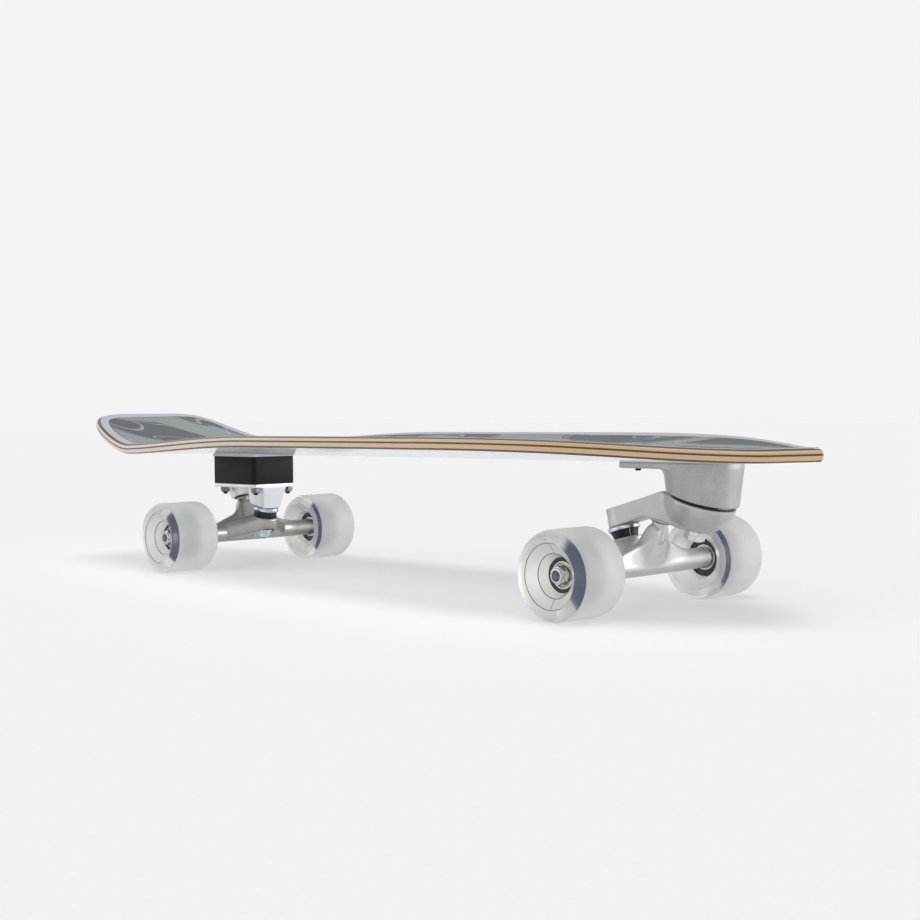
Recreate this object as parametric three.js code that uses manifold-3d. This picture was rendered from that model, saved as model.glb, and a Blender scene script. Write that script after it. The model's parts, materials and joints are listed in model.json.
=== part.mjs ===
// Surf skateboard: a dished maple deck on two kingpin trucks.
// The front truck hangs on a swing arm that turns on a raked post and is brought back by a spring.
// The rear truck stands on a tall riser block. Four cast urethane wheels run on ball bearings.
// Millimetres, +Z up, +X to the nose. The origin is on the floor under the middle of the deck.
import * as THREE from 'three';
import { ConvexGeometry } from 'three/addons/geometries/ConvexGeometry.js';
import { mergeVertices } from 'three/addons/utils/BufferGeometryUtils.js';
import Module from 'manifold-3d';

const wasm = await Module();
wasm.setup();

// Clearances, the overrun of every cut, and the distance under which points are merged
const seatGap = 0.3;
const runningGap = 0.25;
const overrun = 3;
const weld = 1e-4;

// Sides of the faceted round shapes
const hexagon = 6;
const sides = {
  tyre: 28,
  core: 16,
  bearing: 14,
  axle: 10,
  tube: 16,
  can: 28,
  collar: 20,
  post: 16,
  bushing: 16,
  bolt: 8,
};

// Stance
const wheelbase = 529;
const frontAxleX = 285;
const rearAxleX = frontAxleX - wheelbase;
const trackWidth = 180;

// Wheels
const wheel = {
  radius: 35,
  width: 54,
  lip: 8.7,
  ringRadius: 25.2,
  ringDepth: 2.5,
  dishRadius: 17,
  dishDepth: 8.6,
  hubOffset: 1,
};
const bearing = { outer: 11, inner: 4, width: 7, spread: 8 };
const core = { rim: 13.3, innerRim: 15.5, belly: 17.2, lipProud: 0.4, land: 9.2 };
const lipAngles = [0, 45];

// Axles and their nuts
const axle = { radius: 3.97, chamfer: 0.8, proud: 0.9 };
const axleNut = { corner: 7.4, height: 6.6, washer: 6.2, washerHeight: 0.7 };

// Deck
const deck = {
  length: 892,
  width: 248,
  thickness: 9.5,
  edgeRound: 2.4,
  flatWidth: 60,
  dishHeight: 10.6,
  tailWidth: 151,
  tailRise: 34,
  noseRise: 1.4,
};
const deckShares = {
  widest: 0.452,
  tailEnd: 0.098,
  noseEnd: 0.35,
  kick: 0.139,
  noseKick: 0.1,
  dishStart: 0.085,
  dishFull: 0.4,
  tip: 0.0004,
};
const deckPowers = { body: 2.36, tail: 5.8, nose: 3.08, noseTip: 1.05, kick: 1.51, noseKick: 1.6, dish: 1.5 };
// How many pieces the deck's curved sheets are split into
const deckSteps = { long: 26, across: 8 };
const grip = { thickness: 0.8, margin: 1 };

// Deck bolts
const bolt = {
  shank: 2.4,
  head: 4.8,
  headHeight: 1,
  coneHeight: 2.6,
  hole: 2.75,
  proud: 2,
  spacingX: 53.8,
  spacingY: 41.3,
};
const boltNut = { corner: 5.4, height: 5 };

// Kingpin trucks, in a frame with its origin at the middle of the axle and +X to the pivot side.
// A seat is where the board-side washer rests, with the kingpin's lean from upright in degrees.
const frontSeat = { x: -22.6, z: 30, lean: 17 };
const rearSeat = { x: -25.9, z: 27.4, lean: 12 };
const kingpin = { radius: 4.75, hole: 5.1, headCorner: 8.2, headHeight: 5.5, headRoom: 0.6, proud: 1.7 };
const frontHeadTop = 14.8;
const rearHeadTop = 20.8;
const kingpinNut = { corner: 8.2, height: 7 };
const cupWasher = { radius: 13.2, thickness: 1.8, rim: 1.7, rimWall: 1 };
const flatWasher = { radius: 9.5, thickness: 1.8 };
const bushing = { wide: 11.5, barrelTip: 11.8, coneTip: 9.6, bore: 5.3, height: 9.2 };
const roadBushing = { radius: 9, tip: 8.4, show: 2.7 };
const hanger = {
  tubeRadius: 8.9,
  endRadius: 8.5,
  endChamfer: 1,
  waistY: 29,
  ringRadius: 14.3,
  ringHeight: 10,
  ringHole: 7.4,
  topSeatRadius: 12.4,
  topSeatDepth: 1.2,
  roadSeatRadius: 9.3,
  roadSeatDepth: 4.3,
  relief: 11.6,
  yokeHalf: 11.5,
  yokeTop: 16,
};
const wing = { halfSpan: 58, top: 32, topHalf: 8, footZ: 7.9 };
// Shares of the wing's half span and of its fall from the top to the foot
const wingCurveShares = [[1, 0.99], [0.56, 0.76], [0.31, 0.57], [0.19, 0.3]];
// Shares of the way from the axle to the pivot's mouth, each with half the web as a share of the tube's radius
const webShares = [[0, 1], [0.3, 1.05], [0.6, 0.92], [0.92, 0.74]];
// Shares of the half span, each with half the hanger's depth there as a share of the tube's radius
const wingPlanShares = [[0.38, 1], [0.7, 0.7], [1, 0.3]];
const pivot = {
  lean: 18,
  mouthX: 15.6,
  mouthZ: 36.2,
  tipDepth: 7.2,
  tipRadius: 4.6,
  neck: 6.3,
  root: 7.6,
  rootDepth: 33,
};
// Shares of the tip's radius and height that round the pivot's end
const tipShares = [[1, 0], [0.8, 0.6], [0.4, 0.92], [0, 1]];
const pivotCup = { outer: 8.8, mouth: 7.9, bore: 5.2, floor: 1.3, floorRadius: 3.1, lip: 0.9, crown: 5 };

// Front base and swing arm, in the same kind of frame
const truckHeight = 83;
const can = { x: 56.6, flare: 1, bottom: 27, drop: 36 };
const swing = { rake: 16, planeZ: 55.5, gap: 3.3, post: 5, headCorner: 8.2, headHeight: 7.5 };
const base = {
  plate: 5,
  plateStart: -4.8,
  width: 60,
  corner: 5,
  boltX: 9.3,
  springBore: 17.3,
  springDepth: 9.5,
  web: 7,
  sleeveBore: 10.3,
  nutBore: 15,
  blindDepth: 14,
};
const springRing = { outer: 16.5, inner: 9.4 };
const postNut = { corner: 9.6, height: 5.6, thread: 4.6 };
const thrust = { inner: 17.6, outer: 22.8 };
const seal = { inner: 23.3, outer: 24.9 };
const bowl = { radius: 26.3, depth: 23 };
// Shares of the bowl's radius and of its depth, from the rim to the middle
const bowlShares = [[1, 0], [1, 0.11], [0.9, 0.42], [0.66, 0.8], [0.39, 1], [0, 1]];
const beam = {
  bossRadius: 12.2,
  bossTop: 11,
  rootHalfWidth: 15.5,
  tailX: -45,
  tailZ: 40,
  kneeX: 5.4,
  kneeZ: 53.8,
};
const beamRoot = { topX: 27, topZ: 60.2, innerZ: 51.7, lowX: 28, keelX: 46.9, keelEndZ: 38 };
const beamArch = { startX: 4, crownX: 10, crownZ: 39.7, footX: 20, footZ: 37.9 };
// Where the beam's sides start to run out into the bowl, from the top down
const beamFlare = {
  topX: 31.1,
  waistX: 29.8,
  waistZ: 53.2,
  hipX: 31.2,
  hipZ: 46.3,
  calfX: 34.8,
  calfZ: 40.3,
  footX: 38.6,
  footZ: 37.4,
};
const armPivotBoss = { radius: 10.6, height: 14 };

// Rear riser and baseplate
const rear = {
  height: 51.5,
  plate: 4,
  pad: 3,
  padMargin: 1,
  innerEnd: -41.2,
  outerEnd: 31.6,
  width: 53,
  corner: 4,
  boltX: 17.6,
};
const kingBoss = { innerX: -35.4, outerX: -13.6, halfWidth: 10.8, flareHalfWidth: 15.5 };
const pivotBoss = { mouth: 11.2, root: 13.2 };
const rib = { halfWidth: 4, bottomZ: 41 };

const axleHeight = wheel.radius;
const deckUnderside = axleHeight + truckHeight;
const deckTop = deckUnderside + deck.thickness;
const riserHeight = truckHeight - rear.height - rear.pad;
const canTop = base.width / 2 + can.flare;

// Materials
function paint(color, roughness, metalness) {
  return new THREE.MeshStandardMaterial({ color, roughness, metalness });
}
const finish = {
  maple: paint(0xcdb38b, 0.5, 0),
  grip: paint(0x4b5157, 0.9, 0),
  rubber: paint(0x1a1a1c, 0.8, 0),
  pad: paint(0x9a9ea1, 0.6, 0),
  riser: paint(0x1d1d1f, 0.5, 0),
  castLight: paint(0xb4b4b2, 0.38, 0.9),
  castGrey: paint(0x93938f, 0.42, 0.9),
  steel: paint(0xa9aeb2, 0.3, 1),
  zinc: paint(0xb9c6cc, 0.25, 1),
  black: paint(0x17181a, 0.5, 0.3),
  urethane: paint(0xd4d5d2, 0.35, 0),
  core: paint(0x141517, 0.55, 0),
  bearing: paint(0x9c9f86, 0.3, 0.9),
  cup: paint(0x161616, 0.7, 0),
};

// Solids from three.js geometries
function triangleVolume(position, a, b, c) {
  const p = [a, b, c].map((i) => new THREE.Vector3().fromBufferAttribute(position, i));
  return p[0].dot(p[1].cross(p[2]));
}

function solidFrom(geometry) {
  const bare = geometry.clone();
  bare.deleteAttribute('normal');
  bare.deleteAttribute('uv');
  const merged = mergeVertices(bare, weld);
  const position = merged.attributes.position;
  const index = merged.index.array;
  const triangles = [];
  let volume = 0;
  for (let i = 0; i < index.length; i += 3) {
    const [a, b, c] = [index[i], index[i + 1], index[i + 2]];
    if (a === b || b === c || c === a) continue;
    triangles.push([a, b, c]);
    volume += triangleVolume(position, a, b, c);
  }
  const outward = volume > 0 ? triangles : triangles.map(([a, b, c]) => [a, c, b]);
  return new wasm.Manifold(
    new wasm.Mesh({
      numProp: 3,
      vertProperties: new Float32Array(position.array),
      triVerts: new Uint32Array(outward.flat()),
    }),
  );
}

function meshFrom(name, solid, material) {
  const mesh = solid.getMesh();
  const geometry = new THREE.BufferGeometry();
  geometry.setAttribute('position', new THREE.BufferAttribute(mesh.vertProperties.slice(), 3));
  geometry.setIndex(new THREE.BufferAttribute(mesh.triVerts.slice(), 1));
  geometry.computeVertexNormals();
  const node = new THREE.Mesh(geometry, material);
  node.name = name;
  return node;
}

function joined(...solids) {
  return solids.reduce((whole, part) => whole.add(part));
}

function cut(solid, ...tools) {
  return tools.reduce((left, tool) => left.subtract(tool), solid);
}

function common(...solids) {
  return solids.reduce((whole, part) => whole.intersect(part));
}

// Frames: a line in the XZ plane that leans from +Z towards +X by an angle in degrees
const upright = new THREE.Matrix4();

function leaningFrame(x, z, lean) {
  const frame = new THREE.Matrix4().makeRotationY(THREE.MathUtils.degToRad(lean));
  return frame.setPosition(x, 0, z);
}

// The height of a kingpin's seat plane at a given X
function seatHeight(seat, x) {
  return seat.z + (x - seat.x) * Math.tan(THREE.MathUtils.degToRad(seat.lean));
}

// The height, at a given X, of a plane square to the swing axis at a distance along that axis
function swingHeight(x, distance) {
  const rake = THREE.MathUtils.degToRad(swing.rake);
  return swing.planeZ + distance / Math.cos(rake) - (x - can.x) * Math.tan(rake);
}

function kingpinFrame(seat) {
  return leaningFrame(seat.x, seat.z, -seat.lean);
}

const pivotFrame = leaningFrame(pivot.mouthX, pivot.mouthZ, pivot.lean);
const swingFrame = leaningFrame(can.x, swing.planeZ, swing.rake);

// Round shapes: a profile of [radius, height] pairs turned about the frame's Z, or about Y
function turnedGeometry(profile, count, frame) {
  const points = profile.map(([r, h]) => new THREE.Vector2(r, h));
  const geometry = new THREE.LatheGeometry(points, count, Math.PI / count);
  geometry.rotateX(Math.PI / 2);
  return geometry.applyMatrix4(frame);
}

function turned(profile, count, frame = upright) {
  return solidFrom(turnedGeometry(profile, count, frame));
}

function turnedAcross(profile, count) {
  const points = profile.map(([r, h]) => new THREE.Vector2(r, h));
  return solidFrom(new THREE.LatheGeometry(points, count, Math.PI / count));
}

function rod(radius, low, high) {
  return [[0, low], [radius, low], [radius, high], [0, high]];
}

function ring(inner, outer, low, high) {
  return [[inner, low], [outer, low], [outer, high], [inner, high], [inner, low]];
}

// The radius of the corners of a faceted circle whose flats lie on the given radius
function cornerRadius(radius, count) {
  return radius / Math.cos(Math.PI / count);
}

// Flat shapes
function outline(points) {
  return new THREE.Shape(points.map(([x, y]) => new THREE.Vector2(x, y)));
}

function roundedRectangle(x0, x1, halfWidth, radius) {
  const shape = new THREE.Shape();
  shape.moveTo(x0 + radius, -halfWidth);
  shape.lineTo(x1 - radius, -halfWidth);
  shape.absarc(x1 - radius, radius - halfWidth, radius, -Math.PI / 2, 0);
  shape.absarc(x1 - radius, halfWidth - radius, radius, 0, Math.PI / 2);
  shape.absarc(x0 + radius, halfWidth - radius, radius, Math.PI / 2, Math.PI);
  shape.absarc(x0 + radius, radius - halfWidth, radius, Math.PI, Math.PI * 1.5);
  return shape;
}

function slab(shape, low, high, curveSegments = 2) {
  const geometry = new THREE.ExtrudeGeometry(shape, { depth: high - low, bevelEnabled: false, curveSegments });
  return solidFrom(geometry.translate(0, 0, low));
}

// A side outline in X and Z, as thick as twice the half width across Y
function sideSlab(points, halfWidth) {
  const settings = { depth: 2 * halfWidth, bevelEnabled: false };
  const geometry = new THREE.ExtrudeGeometry(outline(points), settings);
  return solidFrom(geometry.rotateX(Math.PI / 2).translate(0, halfWidth, 0));
}

// A front outline in Y and Z, from one X to another
function frontSlab(points, x0, x1) {
  const geometry = new THREE.ExtrudeGeometry(outline(points), { depth: x1 - x0, bevelEnabled: false });
  geometry.rotateX(Math.PI / 2).rotateZ(Math.PI / 2);
  return solidFrom(geometry.translate(x0, 0, 0));
}

// Deck shape: u runs from 0 at the tail to 1 at the nose
function deckHalfWidth(u) {
  const share = THREE.MathUtils.clamp(u, deckShares.tip, 1 - deckShares.tip);
  const back = Math.max(0, (deckShares.widest - share) / deckShares.widest);
  const body = (deck.width - (deck.width - deck.tailWidth) * back ** deckPowers.body) / 2;
  const tail = Math.min(1, share / deckShares.tailEnd);
  const nose = Math.min(1, (1 - share) / deckShares.noseEnd);
  const tailRound = (1 - (1 - tail) ** deckPowers.tail) ** (1 / deckPowers.tail);
  const noseRound = (1 - (1 - nose) ** deckPowers.nose) ** (1 / deckPowers.noseTip);
  return body * tailRound * noseRound;
}

function deckRise(u, y) {
  const kick = Math.max(0, (deckShares.kick - u) / deckShares.kick);
  const noseKick = Math.max(0, (u - 1 + deckShares.noseKick) / deckShares.noseKick);
  const dished = THREE.MathUtils.smoothstep(u, deckShares.dishStart, deckShares.dishFull);
  const side = Math.max(0, (2 * Math.abs(y) - deck.flatWidth) / (deck.width - deck.flatWidth));
  const lift = deck.tailRise * kick ** deckPowers.kick + deck.noseRise * noseKick ** deckPowers.noseKick;
  return lift + deck.dishHeight * dished * side ** deckPowers.dish;
}

// A unit box bent to the deck: inset gives the edge's setback at each of its layers
function deckSheet(layers) {
  const last = layers.length - 1;
  const box = new THREE.BoxGeometry(1, 1, 1, deckSteps.long, deckSteps.across, last);
  const position = box.attributes.position;
  for (let i = 0; i < position.count; i += 1) {
    const layer = layers[Math.round((position.getZ(i) + 0.5) * last)];
    const u = (1 - Math.cos(Math.PI * (position.getX(i) + 0.5))) / 2;
    const x = (u - 0.5) * (deck.length - 2 * layer.inset);
    const place = x / deck.length + 0.5;
    const halfWidth = Math.max(deckHalfWidth(u) - layer.inset, deckHalfWidth(0) * deckShares.tip);
    const y = 2 * position.getY(i) * halfWidth;
    position.setXYZ(i, x, y, layer.z + deckRise(place, y));
  }
  return solidFrom(box);
}

// Places of the deck bolts
const frontBoltX = [frontAxleX + base.boltX, frontAxleX + base.boltX + bolt.spacingX];
const rearBoltX = [rearAxleX - rear.boltX, rearAxleX - rear.boltX + bolt.spacingX];
const boltY = [-bolt.spacingY / 2, bolt.spacingY / 2];
const gripTop = deckTop + seatGap + grip.thickness;

function at(x, y, z = 0) {
  return new THREE.Matrix4().makeTranslation(x, y, z);
}

function boltHoles(rows, radius, low, high) {
  return rows.flatMap((x) => boltY.map((y) => turned(rod(radius, low, high), sides.bolt, at(x, y))));
}

function countersinks(rows) {
  const profile = [
    [0, deckTop - bolt.coneHeight - seatGap],
    [bolt.hole, deckTop - bolt.coneHeight - seatGap],
    [bolt.head + seatGap, deckTop - seatGap],
    [bolt.head + seatGap, deckTop + overrun],
    [0, deckTop + overrun],
  ];
  return rows.flatMap((x) => boltY.map((y) => turned(profile, sides.bolt, at(x, y))));
}

function makeDeck() {
  const round = deck.edgeRound;
  const layers = [
    { inset: round, z: deckUnderside },
    { inset: 0, z: deckUnderside + round },
    { inset: 0, z: deckTop - round },
    { inset: round, z: deckTop },
  ];
  const rows = [...frontBoltX, ...rearBoltX];
  const holes = boltHoles(rows, bolt.hole, deckUnderside - overrun, deckTop + overrun);
  return cut(deckSheet(layers), ...holes, ...countersinks(rows));
}

// The layers run downwards, so the underside is split into the same triangles as the deck's top
function makeGrip() {
  const inset = deck.edgeRound + grip.margin;
  const layers = [
    { inset, z: gripTop },
    { inset, z: deckTop + seatGap },
  ];
  const rows = [...frontBoltX, ...rearBoltX];
  return cut(deckSheet(layers), ...boltHoles(rows, bolt.head + seatGap, deckTop, gripTop + overrun));
}

// A deck bolt with a countersunk head, down to the given height
function boltProfile(low) {
  const top = gripTop;
  return [
    [0, low],
    [bolt.shank, low],
    [bolt.shank, top - bolt.headHeight - bolt.coneHeight],
    [bolt.head, top - bolt.headHeight],
    [bolt.head, top],
    [0, top],
  ];
}

function makeFrontBolt(isBlind) {
  const plateBottom = deckUnderside - base.plate;
  const low = isBlind ? deckUnderside - base.blindDepth + seatGap : plateBottom - bolt.proud;
  return turned(boltProfile(low), sides.bolt);
}

function makeRearBolt() {
  const nutTop = axleHeight + rear.height - rear.plate - seatGap;
  const nutBottom = nutTop - boltNut.height;
  const nut = turned(rod(boltNut.corner, nutBottom, nutTop), hexagon);
  return joined(turned(boltProfile(nutBottom - bolt.proud), sides.bolt), nut);
}

// Kingpin trucks. Distances along the kingpin are counted down from the board washer's seat.
const washerLow = -seatGap - cupWasher.thickness;
const ringTop = washerLow - seatGap - bushing.height + hanger.topSeatDepth;
const ringLow = ringTop - hanger.ringHeight;
const roadWasherTop = ringLow - roadBushing.show - seatGap;
const roadWasherLow = roadWasherTop - flatWasher.thickness;
const kingpinNutTop = roadWasherLow - seatGap;
const kingpinNutLow = kingpinNutTop - kingpinNut.height;
const kingpinLow = kingpinNutLow - kingpin.proud;

function makeKingpin(frame, headTop) {
  const neck = headTop - kingpin.headHeight;
  const head = turned(rod(kingpin.headCorner, neck, headTop), hexagon, frame);
  const shank = [
    [0, kingpinLow],
    [kingpin.radius - axle.chamfer, kingpinLow],
    [kingpin.radius, kingpinLow + axle.chamfer],
    [kingpin.radius, neck + axle.chamfer],
    [0, neck + axle.chamfer],
  ];
  return joined(head, turned(shank, sides.axle, frame));
}

function makeKingpinNut(frame) {
  const nut = turned(rod(kingpinNut.corner, kingpinNutLow, kingpinNutTop), hexagon, frame);
  const bore = rod(kingpin.radius + seatGap, kingpinNutLow - overrun, kingpinNutTop + overrun);
  return cut(nut, turned(bore, sides.axle, frame));
}

function makeCupWasher(frame) {
  const rimLow = washerLow - cupWasher.rim;
  const profile = [
    [kingpin.hole, washerLow],
    [cupWasher.radius - cupWasher.rimWall, washerLow],
    [cupWasher.radius - cupWasher.rimWall, rimLow],
    [cupWasher.radius, rimLow],
    [cupWasher.radius, -seatGap],
    [kingpin.hole, -seatGap],
    [kingpin.hole, washerLow],
  ];
  return turned(profile, sides.bushing, frame);
}

function makeFlatWasher(frame) {
  return turned(ring(kingpin.hole, flatWasher.radius, roadWasherLow, roadWasherTop), sides.bushing, frame);
}

// The bushing between the board washer and the hanger's ring: a barrel or a cone
function makeBoardBushing(frame, tip) {
  const top = washerLow - seatGap;
  const low = top - bushing.height + seatGap;
  const profile = [
    [bushing.bore, low],
    [tip, low],
    [(bushing.wide + tip) / 2, (top + low) / 2],
    [bushing.wide, top - cupWasher.rim],
    [bushing.wide, top],
    [bushing.bore, top],
    [bushing.bore, low],
  ];
  return turned(profile, sides.bushing, frame);
}

function makeRoadBushing(frame) {
  const top = ringLow + hanger.roadSeatDepth - seatGap;
  const low = roadWasherTop + seatGap;
  const profile = [
    [bushing.bore, low],
    [roadBushing.tip, low],
    [roadBushing.radius, top],
    [bushing.bore, top],
    [bushing.bore, low],
  ];
  return turned(profile, sides.bushing, frame);
}

// The recess in the casting that holds a pivot cup, and the cup itself
function cupOutline(grow) {
  const tip = pivot.tipDepth + pivot.tipRadius + seatGap + pivotCup.floor + grow;
  return { radius: pivotCup.outer + grow, shoulder: pivot.tipDepth, tip, crown: pivotCup.crown + grow };
}

function cupRecess() {
  const shape = cupOutline(seatGap);
  const profile = [
    [0, -overrun],
    [shape.radius, -overrun],
    [shape.radius, shape.shoulder],
    [shape.crown, shape.tip],
    [0, shape.tip],
  ];
  return turned(profile, sides.post, pivotFrame);
}

function makePivotCup() {
  const shape = cupOutline(0);
  const floor = pivot.tipDepth + pivot.tipRadius + seatGap;
  const profile = [
    [pivotCup.mouth, -pivotCup.lip],
    [shape.radius, -pivotCup.lip],
    [shape.radius, shape.shoulder],
    [shape.crown, shape.tip],
    [0, shape.tip],
    [0, floor],
    [pivotCup.floorRadius, floor],
    [pivotCup.bore, pivot.tipDepth + pivotCup.bore / 2],
    [pivotCup.bore, pivot.tipDepth],
    [pivotCup.mouth, -pivotCup.lip],
  ];
  return turned(profile, sides.post, pivotFrame);
}

// Hanger: a tube for the axle, wings up to the pivot stem, and a ring for the bushings
function mirroredOutline(points) {
  return [...points, ...points.map(([x, y]) => [-x, y]).reverse()];
}

function hangerWings() {
  const fall = wing.top - wing.footZ;
  const curve = wingCurveShares.map(([a, b]) => [a * wing.halfSpan, wing.top - b * fall]);
  const front = mirroredOutline([[wing.halfSpan, 0], ...curve, [wing.topHalf, wing.top]]);
  const webSide = (sign) =>
    webShares.map(([a, b]) => [pivot.mouthX * a + sign * b * hanger.tubeRadius, pivot.mouthZ * a]);
  const web = [...webSide(1), ...webSide(-1).reverse()];
  const depthSide = (sign) => wingPlanShares.map(([a, b]) => [sign * b * hanger.tubeRadius, a * wing.halfSpan]);
  const noseSide = [[pivot.mouthX + pivot.neck, wing.topHalf], ...depthSide(1)];
  const plan = [...noseSide, ...depthSide(-1).reverse()];
  const planOutline = [...plan, ...plan.map(([x, y]) => [x, -y]).reverse()];
  return common(
    frontSlab(front, -wing.halfSpan, wing.halfSpan),
    sideSlab(web, wing.halfSpan),
    slab(outline(planOutline), -overrun, wing.top + overrun),
  );
}

function hangerStem() {
  const { tipDepth, tipRadius, neck, root, rootDepth } = pivot;
  const tip = tipShares.map(([a, b]) => [a * tipRadius, tipDepth + b * tipRadius]);
  return turned([[0, -rootDepth], [root, -rootDepth], [neck, 0], ...tip], sides.post, pivotFrame);
}

// The yoke that carries the ring: from the tube to the middle of the ring, as high as the ring
function hangerYoke(seat) {
  const angle = THREE.MathUtils.degToRad(seat.lean);
  const onKingpin = (distance) => [seat.x - distance * Math.sin(angle), seat.z + distance * Math.cos(angle)];
  const tubeLow = [0, -hanger.endRadius];
  return sideSlab([onKingpin(ringLow), tubeLow, [0, hanger.yokeTop], onKingpin(ringTop)], hanger.yokeHalf);
}

const hubFace = trackWidth / 2 - bearing.width - bearing.spread / 2 - wheel.hubOffset;
const hangerEnd = hubFace - seatGap;

function hangerTube() {
  const { tubeRadius, endRadius, endChamfer, waistY } = hanger;
  const end = [
    [tubeRadius, waistY],
    [endRadius, hangerEnd - endChamfer],
    [endRadius - endChamfer, hangerEnd],
    [0, hangerEnd],
  ];
  return turnedAcross([...end.map(([r, y]) => [r, -y]).reverse(), ...end], sides.tube);
}

function makeHanger(frame, seat) {
  const ringBody = turned(rod(hanger.ringRadius, ringLow, ringTop), sides.tube, frame);
  const body = joined(hangerTube(), hangerWings(), hangerStem(), hangerYoke(seat), ringBody);
  const seats = [
    rod(hanger.ringHole, ringLow - overrun, ringTop + overrun),
    rod(hanger.topSeatRadius, ringTop - hanger.topSeatDepth, ringTop + seat.z),
    rod(hanger.roadSeatRadius, ringLow - overrun, ringLow + hanger.roadSeatDepth),
    rod(hanger.relief, kingpinLow - overrun, ringLow),
  ];
  const bore = turnedAcross(rod(axle.radius + runningGap, -trackWidth, trackWidth), sides.axle);
  return cut(body, ...seats.map((profile) => turned(profile, sides.bushing, frame)), bore);
}

// Wheels: along Y, with the outer face to +Y
const hubOuter = bearing.width + bearing.spread / 2 - wheel.hubOffset;
const hubInner = -bearing.width - bearing.spread / 2 - wheel.hubOffset;
const nutOuter = hubOuter + seatGap + axleNut.washerHeight + axleNut.height;
const axleEnd = trackWidth / 2 + nutOuter + axle.proud;

function makeAxle() {
  const { radius, chamfer } = axle;
  const profile = [
    [0, -axleEnd],
    [radius - chamfer, -axleEnd],
    [radius, -axleEnd + chamfer],
    [radius, axleEnd - chamfer],
    [radius - chamfer, axleEnd],
    [0, axleEnd],
  ];
  return turnedAcross(profile, sides.axle);
}

function makeAxleNut() {
  const washerLowY = hubOuter + seatGap;
  const nutLow = washerLowY + axleNut.washerHeight;
  const washer = turnedAcross(rod(axleNut.washer, washerLowY, nutLow), sides.axle);
  const nut = turnedAcross(rod(axleNut.corner, nutLow, nutOuter), hexagon);
  const bore = rod(axle.radius + runningGap, washerLowY - overrun, nutOuter + overrun);
  return cut(joined(washer, nut), turnedAcross(bore, sides.axle));
}

// Half of the tyre's section, from the tread to the hub, on the outer side
function facePoints(rim, hubFaceHeight) {
  const { radius, width, lip, ringRadius, ringDepth, dishRadius, dishDepth } = wheel;
  const half = width / 2;
  const arc = lipAngles.map((degrees) => {
    const angle = THREE.MathUtils.degToRad(degrees);
    return [radius - lip + lip * Math.cos(angle), half - lip + lip * Math.sin(angle)];
  });
  return [
    ...arc,
    [radius - lip, half],
    [ringRadius, half - ringDepth],
    [dishRadius, half - dishDepth],
    [rim, hubFaceHeight],
  ];
}

function makeTyre() {
  const outer = facePoints(core.rim + seatGap, hubOuter + core.lipProud);
  const inner = facePoints(core.innerRim + seatGap, -hubInner + core.lipProud);
  const inside = [
    [core.belly + seatGap, -wheel.hubOffset - bearing.spread],
    [core.belly + seatGap, -wheel.hubOffset + bearing.spread / 2],
  ];
  const profile = [
    ...outer.reverse(),
    ...inner.map(([r, h]) => [r, -h]),
    ...inside,
  ];
  const grown = profile.map(([r, h]) => [cornerRadius(r, sides.tyre), h]);
  return turnedAcross([...grown, grown[0]], sides.tyre);
}

function makeCore() {
  const seatOuter = hubOuter - bearing.width;
  const seatInner = hubInner + bearing.width;
  const seat = bearing.outer + runningGap;
  const profile = [
    [seat, hubOuter + core.lipProud],
    [core.rim, hubOuter + core.lipProud],
    [core.belly, -wheel.hubOffset + bearing.spread / 2],
    [core.belly, -wheel.hubOffset - bearing.spread],
    [core.innerRim, hubInner - core.lipProud],
    [seat, hubInner - core.lipProud],
    [seat, seatInner + seatGap],
    [core.land, seatInner + seatGap],
    [core.land, seatOuter - seatGap],
    [seat, seatOuter - seatGap],
    [seat, hubOuter + core.lipProud],
  ];
  return turnedAcross(profile, sides.core);
}

function makeBearing(outerFace) {
  const bore = bearing.inner + runningGap;
  return turnedAcross(ring(bore, bearing.outer, outerFace - bearing.width, outerFace), sides.bearing);
}

function addWheel(truck, prefix, side) {
  const group = new THREE.Group();
  group.position.y = side * trackWidth / 2;
  group.rotation.z = side > 0 ? 0 : Math.PI;
  group.add(meshFrom(`${prefix}_tyre`, makeTyre(), finish.urethane));
  group.add(meshFrom(`${prefix}_wheel_core`, makeCore(), finish.core));
  group.add(meshFrom(`${prefix}_bearing_outer`, makeBearing(hubOuter), finish.bearing));
  group.add(meshFrom(`${prefix}_bearing_inner`, makeBearing(hubInner + bearing.width), finish.bearing));
  group.add(meshFrom(`${prefix}_axle_nut`, makeAxleNut(), finish.steel));
  truck.add(group);
}

// Everything that both trucks have. leftSide is the truck frame's Y direction of the rider's left.
function addKingpinTruck(truck, prefix, leftSide, kind) {
  const { seat, headTop, bushingTip, cast } = kind;
  const frame = kingpinFrame(seat);
  truck.add(meshFrom(`${prefix}_kingpin`, makeKingpin(frame, headTop), finish.steel));
  truck.add(meshFrom(`${prefix}_kingpin_nut`, makeKingpinNut(frame), finish.zinc));
  truck.add(meshFrom(`${prefix}_cup_washer`, makeCupWasher(frame), finish.zinc));
  truck.add(meshFrom(`${prefix}_flat_washer`, makeFlatWasher(frame), finish.zinc));
  truck.add(meshFrom(`${prefix}_bushing_board`, makeBoardBushing(frame, bushingTip), finish.rubber));
  truck.add(meshFrom(`${prefix}_bushing_road`, makeRoadBushing(frame), finish.rubber));
  truck.add(meshFrom(`${prefix}_pivot_cup`, makePivotCup(), finish.cup));
  truck.add(meshFrom(`${prefix}_hanger`, makeHanger(frame, seat), cast));
  truck.add(meshFrom(`${prefix}_axle`, makeAxle(), finish.steel));
  addWheel(truck, `${prefix}_left`, leftSide);
  addWheel(truck, `${prefix}_right`, -leftSide);
}

// Front base: a plate and a tapered can, cut off by the raked swing plane
function canBody() {
  const bottom = truckHeight - can.drop;
  const profile = [
    [0, bottom],
    [can.bottom, bottom],
    [canTop, truckHeight - base.plate],
    [canTop, truckHeight],
    [0, truckHeight],
  ];
  return turned(profile, sides.can, at(can.x, 0));
}

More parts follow.
